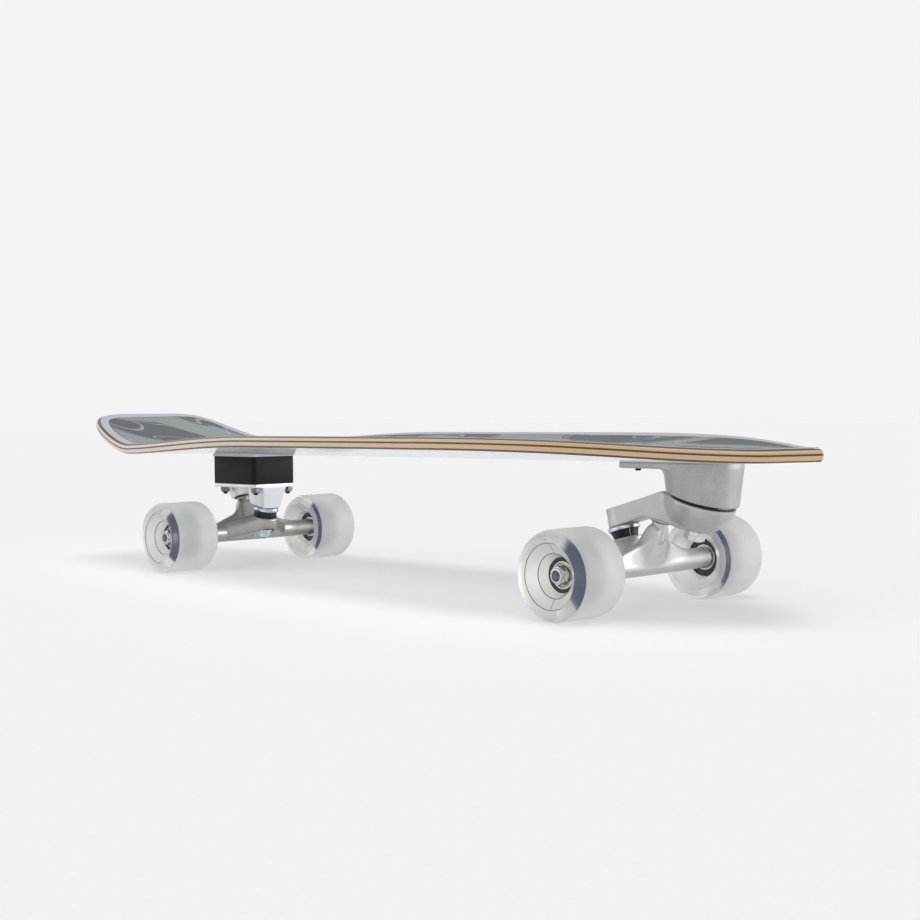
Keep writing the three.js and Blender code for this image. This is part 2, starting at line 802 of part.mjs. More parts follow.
function baseBoltHoles(x, low) {
  return boltY.map((y) => turned(rod(bolt.hole, low, truckHeight + overrun), sides.bolt, at(x, y)));
}

function makeFrontBase() {
  const plateLow = truckHeight - base.plate;
  const plateShape = roundedRectangle(base.plateStart, can.x, base.width / 2, base.corner);
  const plate = slab(plateShape, plateLow, truckHeight);
  const webTop = base.springDepth + base.web;
  const bores = [
    rod(truckHeight, -truckHeight, 0),
    rod(base.springBore, -overrun, base.springDepth),
    rod(base.sleeveBore, base.springDepth - overrun, webTop + overrun),
    rod(base.nutBore, webTop, truckHeight),
  ];
  return cut(
    joined(plate, canBody()),
    ...bores.map((profile) => turned(profile, sides.post, swingFrame)),
    ...baseBoltHoles(base.boltX, plateLow - overrun),
    ...baseBoltHoles(base.boltX + bolt.spacingX, truckHeight - base.blindDepth),
  );
}

function makeSwingSleeve() {
  const low = base.springDepth + seatGap;
  const high = base.springDepth + base.web - seatGap;
  return turned(ring(swing.post + runningGap, base.sleeveBore - seatGap, low, high), sides.post, swingFrame);
}

function makeSwingSpring() {
  return turned(
    ring(springRing.inner, springRing.outer, seatGap, base.springDepth - seatGap),
    sides.post,
    swingFrame,
  );
}

const armTop = -swing.gap;
const armLow = armTop - bowl.depth;
const postNutLow = base.springDepth + base.web + seatGap;
const postTop = postNutLow + postNut.height;

function makeSwingPost() {
  const headTop = armLow - seatGap;
  const head = turned(rod(swing.headCorner, headTop - swing.headHeight, headTop), hexagon, swingFrame);
  const shank = [
    [0, headTop - overrun],
    [swing.post, headTop - overrun],
    [swing.post, postNutLow - seatGap],
    [postNut.thread, postNutLow - seatGap],
    [postNut.thread, postTop],
    [0, postTop],
  ];
  return joined(head, turned(shank, sides.post, swingFrame));
}

function makePostNut() {
  const nut = turned(rod(postNut.corner, postNutLow, postTop - seatGap), hexagon, swingFrame);
  const bore = rod(postNut.thread + seatGap, postNutLow - overrun, postTop + overrun);
  return cut(nut, turned(bore, sides.post, swingFrame));
}

function swingRing(inner, outer) {
  return turned(ring(inner, outer, armTop + seatGap, -seatGap), sides.collar, swingFrame);
}

// Swing arm: a bowl under the can, and a beam back to the kingpin's boss
function armSide() {
  return [
    [beam.tailX, seatHeight(frontSeat, beam.tailX)],
    [beamArch.startX, seatHeight(frontSeat, beamArch.startX)],
    [beamArch.crownX, beamArch.crownZ],
    [beamArch.footX, beamArch.footZ],
    [beamRoot.lowX, swingHeight(beamRoot.lowX, armLow)],
    [beamRoot.keelX, swingHeight(beamRoot.keelX, armLow)],
    [can.x, beamRoot.keelEndZ],
    [can.x, beamRoot.innerZ],
    [beamRoot.topX, beamRoot.topZ],
    [beam.kneeX, beam.kneeZ],
    [beam.tailX, beam.tailZ],
  ];
}

function armPlan() {
  const { bossTop, rootHalfWidth } = beam;
  return outline([
    [can.x, -rootHalfWidth],
    [can.x, rootHalfWidth],
    [beamRoot.topX, rootHalfWidth],
    [frontSeat.x, bossTop],
    [frontSeat.x, -bossTop],
    [beamRoot.topX, -rootHalfWidth],
  ]);
}

function armBeam() {
  const side = sideSlab(armSide(), beam.rootHalfWidth);
  const { bossRadius, bossTop, tailZ } = beam;
  const profile = [
    [0, -overrun],
    [bossRadius, -overrun],
    [bossTop, tailZ - frontSeat.z],
    [bossTop, truckHeight],
    [0, truckHeight],
  ];
  const boss = turned(profile, sides.tube, kingpinFrame(frontSeat));
  return common(side, joined(slab(armPlan(), 0, truckHeight), boss));
}

function armBowlGeometry() {
  const profile = bowlShares.map(([a, b]) => [a * bowl.radius, armTop - b * bowl.depth]);
  return turnedGeometry([[0, armTop], ...profile], sides.can, swingFrame);
}

// The tightest convex solid around the bowl and the two lines where the beam's sides run out
function armFlare() {
  const { topX, waistX, waistZ, hipX, hipZ, calfX, calfZ, footX, footZ } = beamFlare;
  const line = [
    [topX, swingHeight(topX, armTop)],
    [waistX, waistZ],
    [hipX, hipZ],
    [calfX, calfZ],
    [footX, footZ],
  ];
  const points = [-1, 1].flatMap((side) =>
    line.map(([x, z]) => new THREE.Vector3(x, side * beam.rootHalfWidth, z)),
  );
  const position = armBowlGeometry().attributes.position;
  for (let i = 0; i < position.count; i += 1) {
    points.push(new THREE.Vector3().fromBufferAttribute(position, i));
  }
  return solidFrom(new ConvexGeometry(points));
}

function makeSwingArm() {
  const postHole = rod(swing.post + seatGap, armLow - overrun, armTop + overrun);
  const kingPocket = rod(
    kingpin.headCorner + kingpin.headRoom,
    frontHeadTop - kingpin.headHeight - seatGap,
    truckHeight,
  );
  const kingTools = [rod(kingpin.hole, -overrun, truckHeight), kingPocket];
  const boss = turned(rod(armPivotBoss.radius, 0, armPivotBoss.height), sides.post, pivotFrame);
  return cut(
    joined(armBeam(), armFlare(), boss),
    turned(postHole, sides.post, swingFrame),
    ...kingTools.map((profile) => turned(profile, sides.axle, kingpinFrame(frontSeat))),
    cupRecess(),
  );
}

// Rear baseplate: a plate with a flared boss for the kingpin and a round one for the pivot
function bossBlock() {
  const top = rear.height - rear.plate / 2;
  const side = sideSlab(
    [
      [kingBoss.innerX, seatHeight(rearSeat, kingBoss.innerX)],
      [kingBoss.outerX, seatHeight(rearSeat, kingBoss.outerX)],
      [kingBoss.outerX, top],
      [rear.innerEnd, top],
      [rear.innerEnd, rear.height - rear.plate],
    ],
    rear.width / 2,
  );
  const front = frontSlab(
    [
      [-kingBoss.halfWidth, seatHeight(rearSeat, kingBoss.innerX)],
      [kingBoss.halfWidth, seatHeight(rearSeat, kingBoss.innerX)],
      [kingBoss.flareHalfWidth, top],
      [-kingBoss.flareHalfWidth, top],
    ],
    rear.innerEnd,
    rear.outerEnd,
  );
  return common(side, front);
}

function pivotBossBody() {
  const profile = [
    [0, 0],
    [pivotBoss.mouth, 0],
    [pivotBoss.root, pivot.tipDepth],
    [pivotBoss.root, rear.height],
    [0, rear.height],
  ];
  const plateShape = roundedRectangle(rear.innerEnd, rear.outerEnd, rear.width / 2, rear.corner);
  return common(turned(profile, sides.post, pivotFrame), slab(plateShape, 0, rear.height));
}

// Holes of the rear deck bolts, in the rear truck's frame
function rearHoles(low, high) {
  return boltHoles([rear.boltX - bolt.spacingX, rear.boltX], bolt.hole, low, high);
}

function makeRearBaseplate() {
  const plateShape = roundedRectangle(rear.innerEnd, rear.outerEnd, rear.width / 2, rear.corner);
  const plate = slab(plateShape, rear.height - rear.plate, rear.height);
  const top = rear.height - rear.plate / 2;
  const web = [[kingBoss.outerX - seatGap, rib.bottomZ], [pivot.mouthX, rib.bottomZ], [pivot.mouthX, top]];
  const ribBody = sideSlab([...web, [kingBoss.outerX - seatGap, top]], rib.halfWidth);
  const kingPocket = rod(
    kingpin.headCorner + kingpin.headRoom,
    rearHeadTop - kingpin.headHeight - seatGap,
    rear.height,
  );
  const kingTools = [rod(kingpin.hole, -overrun, rear.height), kingPocket];
  return cut(
    joined(plate, bossBlock(), pivotBossBody(), ribBody),
    ...kingTools.map((profile) => turned(profile, sides.axle, kingpinFrame(rearSeat))),
    cupRecess(),
    ...rearHoles(rib.bottomZ, rear.height + overrun),
  );
}

function makeRiser(low, high, margin) {
  const shape = roundedRectangle(
    rear.innerEnd - margin,
    rear.outerEnd + margin,
    rear.width / 2 + margin,
    rear.corner,
  );
  return cut(slab(shape, low, high), ...rearHoles(low - overrun, high + overrun));
}

// Assembly
const board = new THREE.Group();

function addDeckBolts() {
  const names = ['left', 'right'];
  [1, -1].forEach((side, i) => {
    const y = side * bolt.spacingY / 2;
    const [frontTail, frontNose] = frontBoltX;
    const [rearTail, rearNose] = rearBoltX;
    const placed = [
      [`front_bolt_tail_${names[i]}`, makeFrontBolt(false), frontTail],
      [`front_bolt_nose_${names[i]}`, makeFrontBolt(true), frontNose],
      [`rear_bolt_tail_${names[i]}`, makeRearBolt(), rearTail],
      [`rear_bolt_nose_${names[i]}`, makeRearBolt(), rearNose],
    ];
    placed.forEach(([name, solid, x]) => {
      const node = meshFrom(name, solid, finish.black);
      node.position.set(x, y, 0);
      board.add(node);
    });
  });
}

function addFrontTruck() {
  const truck = new THREE.Group();
  truck.position.set(frontAxleX, 0, axleHeight);
  truck.add(meshFrom('front_base', makeFrontBase(), finish.castLight));
  truck.add(meshFrom('swing_sleeve', makeSwingSleeve(), finish.steel));
  truck.add(meshFrom('swing_spring', makeSwingSpring(), finish.steel));
  truck.add(meshFrom('swing_arm', makeSwingArm(), finish.castLight));
  truck.add(meshFrom('swing_post', makeSwingPost(), finish.steel));
  truck.add(meshFrom('swing_post_nut', makePostNut(), finish.zinc));
  truck.add(meshFrom('thrust_bearing', swingRing(thrust.inner, thrust.outer), finish.bearing));
  truck.add(meshFrom('swing_seal', swingRing(seal.inner, seal.outer), finish.rubber));
  const kind = { seat: frontSeat, headTop: frontHeadTop, bushingTip: bushing.coneTip, cast: finish.castLight };
  addKingpinTruck(truck, 'front', 1, kind);
  board.add(truck);
}

function addRearTruck() {
  const truck = new THREE.Group();
  truck.position.set(rearAxleX, 0, axleHeight);
  truck.rotation.z = Math.PI;
  const riserTop = rear.height + riserHeight;
  truck.add(meshFrom('riser_pad', makeRiser(riserTop, truckHeight, rear.padMargin), finish.pad));
  truck.add(meshFrom('riser_block', makeRiser(rear.height, riserTop, 0), finish.riser));
  truck.add(meshFrom('rear_baseplate', makeRearBaseplate(), finish.castLight));
  const kind = { seat: rearSeat, headTop: rearHeadTop, bushingTip: bushing.barrelTip, cast: finish.castGrey };
  addKingpinTruck(truck, 'rear', -1, kind);
  board.add(truck);
}

board.add(meshFrom('deck', makeDeck(), finish.maple));
board.add(meshFrom('grip_sheet', makeGrip(), finish.grip));
addDeckBolts();
addFrontTruck();
addRearTruck();

export default board;
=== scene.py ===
import json
from functools import partial
from math import acos, atan2, cos, hypot, pi, radians, sin, tan
from types import SimpleNamespace as Named

import bmesh
import bpy
import numpy as np
from mathutils import Matrix, Vector


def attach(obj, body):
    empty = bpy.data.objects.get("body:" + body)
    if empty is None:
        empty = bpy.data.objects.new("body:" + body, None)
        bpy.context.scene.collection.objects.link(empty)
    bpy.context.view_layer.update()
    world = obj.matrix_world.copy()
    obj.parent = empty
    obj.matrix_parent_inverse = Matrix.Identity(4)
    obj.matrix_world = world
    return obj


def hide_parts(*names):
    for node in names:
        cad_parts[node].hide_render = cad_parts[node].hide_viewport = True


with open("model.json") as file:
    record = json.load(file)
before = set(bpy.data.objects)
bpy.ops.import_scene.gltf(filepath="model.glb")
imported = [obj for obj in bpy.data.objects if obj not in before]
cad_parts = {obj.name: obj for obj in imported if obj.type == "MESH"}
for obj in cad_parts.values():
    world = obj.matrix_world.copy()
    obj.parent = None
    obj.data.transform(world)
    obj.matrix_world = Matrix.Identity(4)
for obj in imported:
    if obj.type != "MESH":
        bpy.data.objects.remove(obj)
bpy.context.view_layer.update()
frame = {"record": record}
bodies = frame["record"]["behaviour"]["bodies"]
body_of_node = {node: body for body, members in bodies.items() for node in members}

# Lengths are in millimetres here and become metres in new_object. OVER is how far a tool runs past
# what it cuts, GAP lies between pieces that sit together and RUNNING_GAP between those that turn.
MM = 0.001
OVER = 3.0
GAP = 0.3
RUNNING_GAP = 0.25
SHARP = radians(32)
LINE = 1e-3
HEXAGON = 6

# Stance
AXLE_HEIGHT = 35.0
FRONT_AXLE_X = 285.0
REAR_AXLE_X = -244.0
TRACK = 180.0
TRUCK_HEIGHT = 83.0
DECK_UNDER = AXLE_HEIGHT + TRUCK_HEIGHT

# Deck
DECK = Named(length=892.0, width=248.0, thick=9.5, round=2.4, edge=3.3, flat=60.0, dish=10.6,
             tail_width=151.0, tail_rise=34.0, nose_rise=1.4)
DECK_SHARE = Named(widest=0.452, tail=0.098, nose=0.35, kick=0.139, nose_kick=0.1,
                   dish_start=0.085, dish_full=0.4, tip=0.0004)
DECK_POWER = Named(body=2.36, tail=5.8, nose=3.08, nose_tip=1.05, kick=1.51, nose_kick=1.6, dish=1.5)
DECK_STEPS = (150, 44)
DECK_TOP = DECK_UNDER + DECK.thick
GRIP = Named(thick=0.8, margin=1.0)
GRIP_TOP = DECK_TOP + GAP + GRIP.thick

# Deck bolts
BOLT = Named(shank=2.4, head=4.8, head_height=1.0, cone=2.6, hole=2.75, proud=2.0, space_x=53.8,
             space_y=41.3, nut=5.4, nut_height=5.0, collar=1.5, socket=2.2, socket_depth=1.6, tip=0.6,
             edge=0.25, pitch=0.8, groove=0.32, threaded=12.0)

# Trucks, with the origin at the middle of the axle and +X to the pivot's side
FRONT_SEAT = Named(x=-22.6, z=30.0, lean=17.0)
REAR_SEAT = Named(x=-25.9, z=27.4, lean=12.0)
FRONT_HEAD_TOP = 14.8
REAR_HEAD_TOP = 20.8
KINGPIN = Named(radius=4.75, hole=5.1, corner=8.2, head=5.5, room=0.6, proud=1.7, nut=7.0, collar=6.6,
                collar_height=2.0, pitch=1.25, groove=0.5, threaded=6.0)
CUP_WASHER = Named(radius=13.2, thick=1.8, rim=1.7, wall=1.0)
FLAT_WASHER = Named(radius=9.5, thick=1.8)
BUSHING = Named(wide=11.5, barrel=11.8, cone=9.6, bore=5.3, height=9.2)
# The bushing's mould line: a thin real ridge, coloured grey as a painted highlight on the black rubber
MOULD_LINE_PAINTED_HIGHLIGHT = Named(turn=-29.0, half=0.3, proud=0.15)
ROAD_BUSHING = Named(radius=9.0, tip=8.4, show=2.7)
HANGER = Named(tube=8.9, end=8.5, waist=29.0, ring=14.3, ring_height=10.0, ring_hole=7.4,
               top_seat=12.4, top_depth=1.2, road_seat=9.3, road_depth=4.3, relief=11.6)
WING_RIDGE = ((0.0, 34.0), (6.6, 33.2), (8.4, 30.2), (11.0, 25.8), (14.0, 22.2), (18.0, 19.2),
              (25.0, 16.6), (32.0, 14.2), (39.0, 11.8), (46.0, 9.9), (53.0, 8.7), (58.0, 8.1))
WING_SPAN = WING_RIDGE[-1][0]
WING_ROUND = Named(thin=3.2, more=3.1, start=20.0, reach=12.0)
FAIRING = Named(half=38.0, radius=7.9)
PIVOT = Named(lean=18.0, x=15.6, z=36.2, tip_depth=7.2, tip=4.6, neck=6.3, root=6.8, root_depth=17.0)
PIVOT_CUP = Named(outer=8.8, mouth=7.9, bore=5.2, floor=1.3, floor_radius=3.1, lip=0.9, crown=5.0)

# Front base and swing arm
BASE = Named(plate=5.0, start=-4.8, width=60.0, corner=5.0, bolt_x=9.3, spring_bore=17.3,
             spring_depth=9.5, web=7.0, sleeve=10.3, nut_bore=15.0, blind=14.0, fillet=5.0)
CAN = Named(x=56.6, top=31.0, bottom=27.0, drop=36.0)
SWING = Named(rake=16.0, plane_z=55.5, gap=3.3, post=5.0, head=8.2, head_height=7.5, socket_roof=3.5)
POST_NUT = Named(corner=9.6, height=5.6, thread=4.6)
SEAL = Named(inner=23.3, outer=24.9, groove=0.4, mouth=0.45, floor=0.15)
THRUST = Named(inner=17.6, outer=22.8)
SPRING = Named(turns=2.35, half_wire=1.5, mean=13.0, steps=120)
BOWL = Named(radius=26.3, depth=23.0)
BEAM = Named(boss=12.2, boss_top=11.0, half=15.5, tail=(-45.0, 40.0), knee=(5.4, 53.8), top=(27.0, 60.2),
             inner_z=51.7, keel_z=38.0, keel_x=46.9, low_x=28.0, foot=(20.0, 37.9), crown=(10.0, 39.7),
             arch_x=4.0)
BEAM_FLARE = ((31.1, 0.0), (29.8, 53.2), (31.2, 46.3), (34.8, 40.3), (38.6, 37.4))
ARM_PIVOT = Named(radius=10.6, height=14.0)
ARM_TOP = -SWING.gap
ARM_LOW = ARM_TOP - BOWL.depth

# Rear riser and baseplate
REAR = Named(height=51.5, plate=4.0, pad=3.0, margin=1.0, inner=-41.2, outer=31.6, width=53.0,
             corner=4.0, bolt_x=17.6)
REAR_BOSS = Named(inner=-35.4, outer=-13.6, half=10.8, flare=15.5, socket=11.2, socket_wide=13.2, rib=4.0,
                  rib_low=41.0)

# Wheels, along Y, with the outer face to +Y
WHEEL = Named(radius=35.0, width=54.0, lip=8.7, ring=25.2, ring_depth=2.5, dish=17.0, dish_depth=8.6,
              offset=1.0)
BEARING = Named(outer=11.0, inner=4.0, width=7.0, spread=8.0, race_out=9.3, race_in=6.3, recess=0.6)
CORE = Named(rim=13.3, inner_rim=15.5, belly=17.2, proud=0.4, land=9.2, teeth=12, tooth_half=1.3,
             tooth_depth=2.2)
AXLE = Named(radius=3.97, chamfer=0.8, proud=0.9, pitch=1.0, groove=0.45, threaded=11.0)
AXLE_NUT = Named(corner=7.4, height=6.6, washer=6.2, washer_height=0.7, collar=5.9, collar_height=1.7)
HUB_OUTER = BEARING.width + BEARING.spread / 2 - WHEEL.offset
HUB_INNER = -BEARING.width - BEARING.spread / 2 - WHEEL.offset


# Small geometry helpers
def leaning(x, z, lean):
    """A frame whose Z leans from upright towards +X by an angle in degrees."""
    return Matrix.Translation((x, 0, z)) @ Matrix.Rotation(radians(lean), 4, "Y")


def kingpin_frame(seat):
    return leaning(seat.x, seat.z, -seat.lean)


def seat_height(seat, x):
    return seat.z + (x - seat.x) * tan(radians(seat.lean))


def swing_height(x, distance):
    rake = radians(SWING.rake)
    return SWING.plane_z + distance / cos(rake) - (x - CAN.x) * tan(rake)


FRONT = Matrix.Translation((FRONT_AXLE_X, 0, AXLE_HEIGHT))
REAR_TRUCK = Matrix.Translation((REAR_AXLE_X, 0, AXLE_HEIGHT)) @ Matrix.Rotation(pi, 4, "Z")
PIVOT_FRAME = leaning(PIVOT.x, PIVOT.z, PIVOT.lean)
SWING_FRAME = leaning(CAN.x, SWING.plane_z, SWING.rake)
ACROSS = Matrix.Rotation(-pi / 2, 4, "X")
BOARD = Matrix.Identity(4)


def rounded(points, radii, closed=False, steps=4):
    """A 2-D polyline with its corners replaced by arcs."""
    made = []
    corners = np.array(points, float)
    last = len(corners) - 1
    for i, here in enumerate(corners):
        radius = radii[i] if isinstance(radii, list) else radii
        angle = pi
        if radius > 0 and (closed or 0 < i < last):
            back, ahead = corners[i - 1] - here, corners[(i + 1) % (last + 1)] - here
            back_length, ahead_length = np.linalg.norm(back), np.linalg.norm(ahead)
            back, ahead = back / back_length, ahead / ahead_length
            angle = acos(max(-1.0, min(1.0, float(back @ ahead))))
        if angle > pi - 0.02:
            made.append(here)
            continue
        reach = min(radius / tan(angle / 2), 0.49 * back_length, 0.49 * ahead_length)
        middle = (back + ahead) / np.linalg.norm(back + ahead)
        centre = here + middle * (reach * tan(angle / 2)) / sin(angle / 2)
        first, final = here + back * reach - centre, here + ahead * reach - centre
        sweep = pi - angle
        for k in range(steps + 1):
            share = k / steps
            made.append(centre + (sin((1 - share) * sweep) * first + sin(share * sweep) * final) / sin(sweep))
    return [tuple(p) for p in made]


def smooth_curve(points, steps):
    """A Catmull-Rom curve through the points, ends kept."""
    p = np.array(points, float)
    p = [2 * p[0] - p[1], *p, 2 * p[-1] - p[-2]]
    made = []
    for a, b, c, d in zip(p, p[1:], p[2:], p[3:]):
        for t in (k / steps for k in range(steps)):
            made.append(0.5 * (2 * b + (c - a) * t + (2 * a - 5 * b + 4 * c - d) * t * t
                               + (3 * b - a - 3 * c + d) * t ** 3))
    return np.array([*made, p[-2]])


def added(name, data):
    made = bpy.data.objects.new(name, data)
    bpy.context.scene.collection.objects.link(made)
    return made


def new_object(verts, faces, place=BOARD, material_index=None, name="piece"):
    """A mesh object from points in millimetres, put where its truck is."""
    matrix = Matrix.Scale(MM, 4) @ place
    mesh = bpy.data.meshes.new(name)
    mesh.from_pydata([matrix @ Vector(v) for v in verts], [], faces)
    if material_index is not None:
        mesh.polygons.foreach_set("material_index", material_index)
    mesh.validate()
    return added(name, mesh)


def face_outwards(made):
    work = bmesh.new()
    work.from_mesh(made.data)
    bmesh.ops.recalc_face_normals(work, faces=work.faces)
    if work.calc_volume(signed=True) < 0:
        bmesh.ops.reverse_faces(work, faces=work.faces)
    work.to_mesh(made.data)
    work.free()
    return made


def revolve(profile, steps, place=BOARD, spin=BOARD, bands=None):
    """Turns (radius, height) pairs about the frame's Z.

    bands gives each stretch of the profile its material.
    """
    closed = profile[0] == profile[-1]
    points = profile[:-1] if closed else profile
    verts, rows = [], []
    for r, h in points:
        if r < LINE:
            rows.append([len(verts)])
            verts.append((0, 0, h))
            continue
        rows.append(list(range(len(verts), len(verts) + steps)))
        for k in range(steps):
            angle = 2 * pi * (k + 0.5) / steps
            verts.append((r * cos(angle), r * sin(angle), h))
    faces, index = [], []
    pairs = len(rows) if closed else len(rows) - 1
    for i in range(pairs):
        a, b = rows[i], rows[(i + 1) % len(rows)]
        if len(a) == len(b) == 1:
            continue
        for k in range(steps):
            n = (k + 1) % steps
            low = (a[0],) if len(a) == 1 else (a[k], a[n])
            high = (b[0],) if len(b) == 1 else (b[n], b[k])
            faces.append(low + high)
            index.append(bands[i] if bands else 0)
    return face_outwards(new_object(verts, faces, place @ spin, index))


def rod(radius, low, high, edge=0.0):
    return rounded([(0, low), (radius, low), (radius, high), (0, high)], edge, steps=3)


def loop(points, radii, steps):
    """A rounded closed section, ready to be turned."""
    made = rounded(points, radii, True, steps)
    return [*made, made[0]]


def ring(inner, outer, low, high, edge):
    return loop([(inner, low), (outer, low), (outer, high), (inner, high)], edge, 3)


def bar(radius, low, high, steps, place, spin=BOARD):
    """A plain round bar, mostly as a drill."""
    return revolve(rod(radius, low, high), steps, place, spin)


def lofted(sections, place):
    """A skin over closed rings of points that have the same count."""
    count = len(sections[0])
    verts = [point for section in sections for point in section]
    faces = [tuple(range(count))[::-1], tuple(range(len(verts) - count, len(verts)))]
    for a in range(0, len(verts) - count, count):
        pairs = [(a + i, a + (i + 1) % count) for i in range(count)]
        faces += [(i, j, j + count, i + count) for i, j in pairs]
    return face_outwards(new_object(verts, faces, place))


def prism(outline, low, high, place, turn=BOARD):
    """A flat outline given depth along its frame's Z."""
    return lofted([[(x, y, z) for x, y in outline] for z in (low, high)], place @ turn)


SIDEWAYS = Matrix.Rotation(pi / 2, 4, "X")
FRONTWAYS = Matrix.Rotation(pi / 2, 4, "Z") @ SIDEWAYS
UNIT_CIRCLE = [(cos(2 * pi * k / 48), sin(2 * pi * k / 48)) for k in range(48)]


def side_prism(outline, half, place):
    return prism(outline, -half, half, place, SIDEWAYS)


def wrapped_circles(circles):
    """The tightest convex outline around circles given as (x, z, radius)."""
    made = []
    for x, z in UNIT_CIRCLE:
        far = max(circles, key=lambda c: c[0] * x + c[1] * z + c[2])
        made.append((far[0] + far[2] * x, far[1] + far[2] * z))
    return made


def wrapped(points, place):
    """The tightest convex solid around the points."""
    made = new_object(points, [], place)
    work = bmesh.new()
    work.from_mesh(made.data)
    bmesh.ops.convex_hull(work, input=work.verts)
    bmesh.ops.delete(work, geom=[v for v in work.verts if not v.link_faces], context="VERTS")
    work.to_mesh(made.data)
    work.free()
    return face_outwards(made)


def circle_points(radius, height, place):
    return [tuple(place @ Vector((radius * x, radius * y, height))) for x, y in UNIT_CIRCLE]


def rounded_box(x0, x1, half, radius, steps=6):
    return rounded([(x0, -half), (x1, -half), (x1, half), (x0, half)], radius, True, steps)


def modified(made, kind, **settings):
    """Gives the piece a modifier and applies it to the mesh."""
    step = made.modifiers.new(kind, kind)
    for key, value in settings.items():
        setattr(step, key, value)
    bpy.context.view_layer.update()
    old = made.data
    made.data = bpy.data.meshes.new_from_object(made.evaluated_get(bpy.context.evaluated_depsgraph_get()))
    made.modifiers.clear()
    bpy.data.meshes.remove(old)
    return made


def combine(operation, made, *tools):
    for tool in tools:
        modified(made, "BOOLEAN", operation=operation, solver="MANIFOLD", object=tool)
        mesh = tool.data
        bpy.data.objects.remove(tool)
        bpy.data.meshes.remove(mesh)
    return made


cut = partial(combine, "DIFFERENCE")
joined = partial(combine, "UNION")
common = partial(combine, "INTERSECT")


def cast_form(made, voxel, passes):
    """Runs the joints of a union together, as in a casting."""
    modified(made, "REMESH", mode="VOXEL", voxel_size=voxel * MM)
    return modified(made, "SMOOTH", factor=0.5, iterations=passes)


def bevelled(made, width):
    return modified(made, "BEVEL", width=width * MM, segments=2, limit_method="ANGLE",
                    angle_limit=radians(30), harden_normals=False)


def dressed(made, *looks):
    index = np.zeros(len(made.data.polygons), np.int32)
    made.data.polygons.foreach_get("material_index", index)
    made.data.materials.clear()
    for material in looks:
        made.data.materials.append(material)
    made.data.polygons.foreach_set("material_index", np.minimum(index, len(looks) - 1))
    made.data.shade_smooth()
    made.data.set_sharp_from_angle(angle=SHARP)
    return made


def placed(made, node):
    """The piece takes the node's place, body and name."""
    made.name = made.data.name = node + "_piece"
    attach(made, body_of_node[node])
    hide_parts(node)


def stand_in(made, node, slot, *looks):
    placed(dressed(made, *looks), node)


# Materials
def colour(r, g, b):
    """A screen colour from 0 to 255 as linear light."""
    return tuple(((c / 255 + 0.055) / 1.055) ** 2.4 if c > 10 else c / 255 / 12.92 for c in (r, g, b))


class Nodes:
    """A material being wired: short names for the nodes that are used often."""

    def __init__(self, name):
        self.material = bpy.data.materials.new(name)
        self.material.use_nodes = True
        self.tree = self.material.node_tree
        self.shader = self.tree.nodes["Principled BSDF"]

    def feed(self, socket, value):
        """Gives a socket a number, a vector, a colour or another node's output."""
        if isinstance(value, tuple):
            socket.default_value = (*value, 1) if socket.type == "RGBA" else value
        elif isinstance(value, (int, float)):
            socket.default_value = value
        else:
            self.tree.links.new(value, socket)

    def node(self, kind, output, inputs, **settings):
        made = self.tree.nodes.new("ShaderNode" + kind)
        for key, value in settings.items():
            setattr(made, key, value)
        for key, value in inputs.items():
            self.feed(made.inputs[key], value)
        return made.outputs[output]

    def shade(self, **inputs):
        for key, value in inputs.items():
            self.feed(self.shader.inputs[key.replace("_", " ")], value)

    def place(self, stretch=(1, 1, 1)):
        """Object coordinates, stretched."""
        source = self.node("TexCoord", "Object", {})
        return self.node("Mapping", "Vector", {"Scale": stretch, "Vector": source})

    def noise(self, scale, detail, rough, stretch=(1, 1, 1), vector=None, output="Fac"):
        return self.node("TexNoise", output, {"Scale": scale, "Detail": detail, "Roughness": rough,
                                              "Vector": vector or self.place(stretch)})

    def ramp(self, value, stops):
        made = self.tree.nodes.new("ShaderNodeValToRGB")
        elements = made.color_ramp.elements
        while len(elements) < len(stops):
            elements.new(0.5)
        for element, (position, tone) in zip(elements, stops):
            element.position = position
            element.color = (*tone, 1)
        self.feed(made.inputs["Fac"], value)
        return made.outputs["Color"]

    def two_tone(self, value, dark, light, low=0.3, high=0.7):
        return self.ramp(value, [(low, colour(*dark)), (high, colour(*light))])

    def span(self, value, low, high, from_low=0.3, from_high=0.7):
        return self.node("MapRange", "Result", {"From Min": from_low, "From Max": from_high, "To Min": low,
                                                "To Max": high, "Value": value})

    def math(self, operation, *values):
        return self.node("Math", "Value", dict(enumerate(values)), operation=operation)

    def near(self, value, centre, half):
        """1 where the value is within half of the centre."""
        return self.math("LESS_THAN", self.math("ABSOLUTE", self.math("SUBTRACT", value, centre)), half)

    def mix(self, share, a, b):
        return self.node("Mix", 2, {0: share, 6: a, 7: b}, data_type="RGBA")

    def attribute(self, name):
        return self.node("Attribute", "Fac", {}, attribute_name=name)

    def bump(self, height, strength, distance):
        self.shade(Normal=self.node("Bump", "Normal", {"Strength": strength, "Distance": distance,
                                                       "Height": height}))
        return self.material


def cast_metal(name, dark, light, rough_low, rough_high, grain, metallic=0.7):
    m = Nodes(name)
    both = m.math("MULTIPLY_ADD", m.noise(700, 3, 0.6), 0.5, m.math("MULTIPLY", m.noise(55, 3, 0.5), 0.5))
    m.shade(Metallic=metallic, Base_Color=m.two_tone(both, dark, light, 0.35, 0.65),
            Roughness=m.span(both, rough_high, rough_low))
    return m.bump(m.noise(1500, 3, 0.7), grain, 0.0002)


def plated(name, dark, light, rough, scale=240):
    m = Nodes(name)
    m.shade(Metallic=1.0, Base_Color=m.two_tone(m.noise(scale, 4, 0.6), dark, light, 0.3, 0.65),
            Roughness=m.span(m.noise(900, 2, 0.6), rough, rough + 0.14))
    return m.bump(m.noise(1800, 2, 0.5), 0.12, 0.0001)


def surface(name, tone, dark, light, rough, relief, strength, distance, **settings):
    """One noise for tone and roughness, another for the relief."""
    m = Nodes(name)
    value = m.noise(*tone)
    m.shade(Base_Color=m.two_tone(value, dark, light), Roughness=m.span(value, *rough), **settings)
    return m.bump(m.noise(*relief), strength, distance)


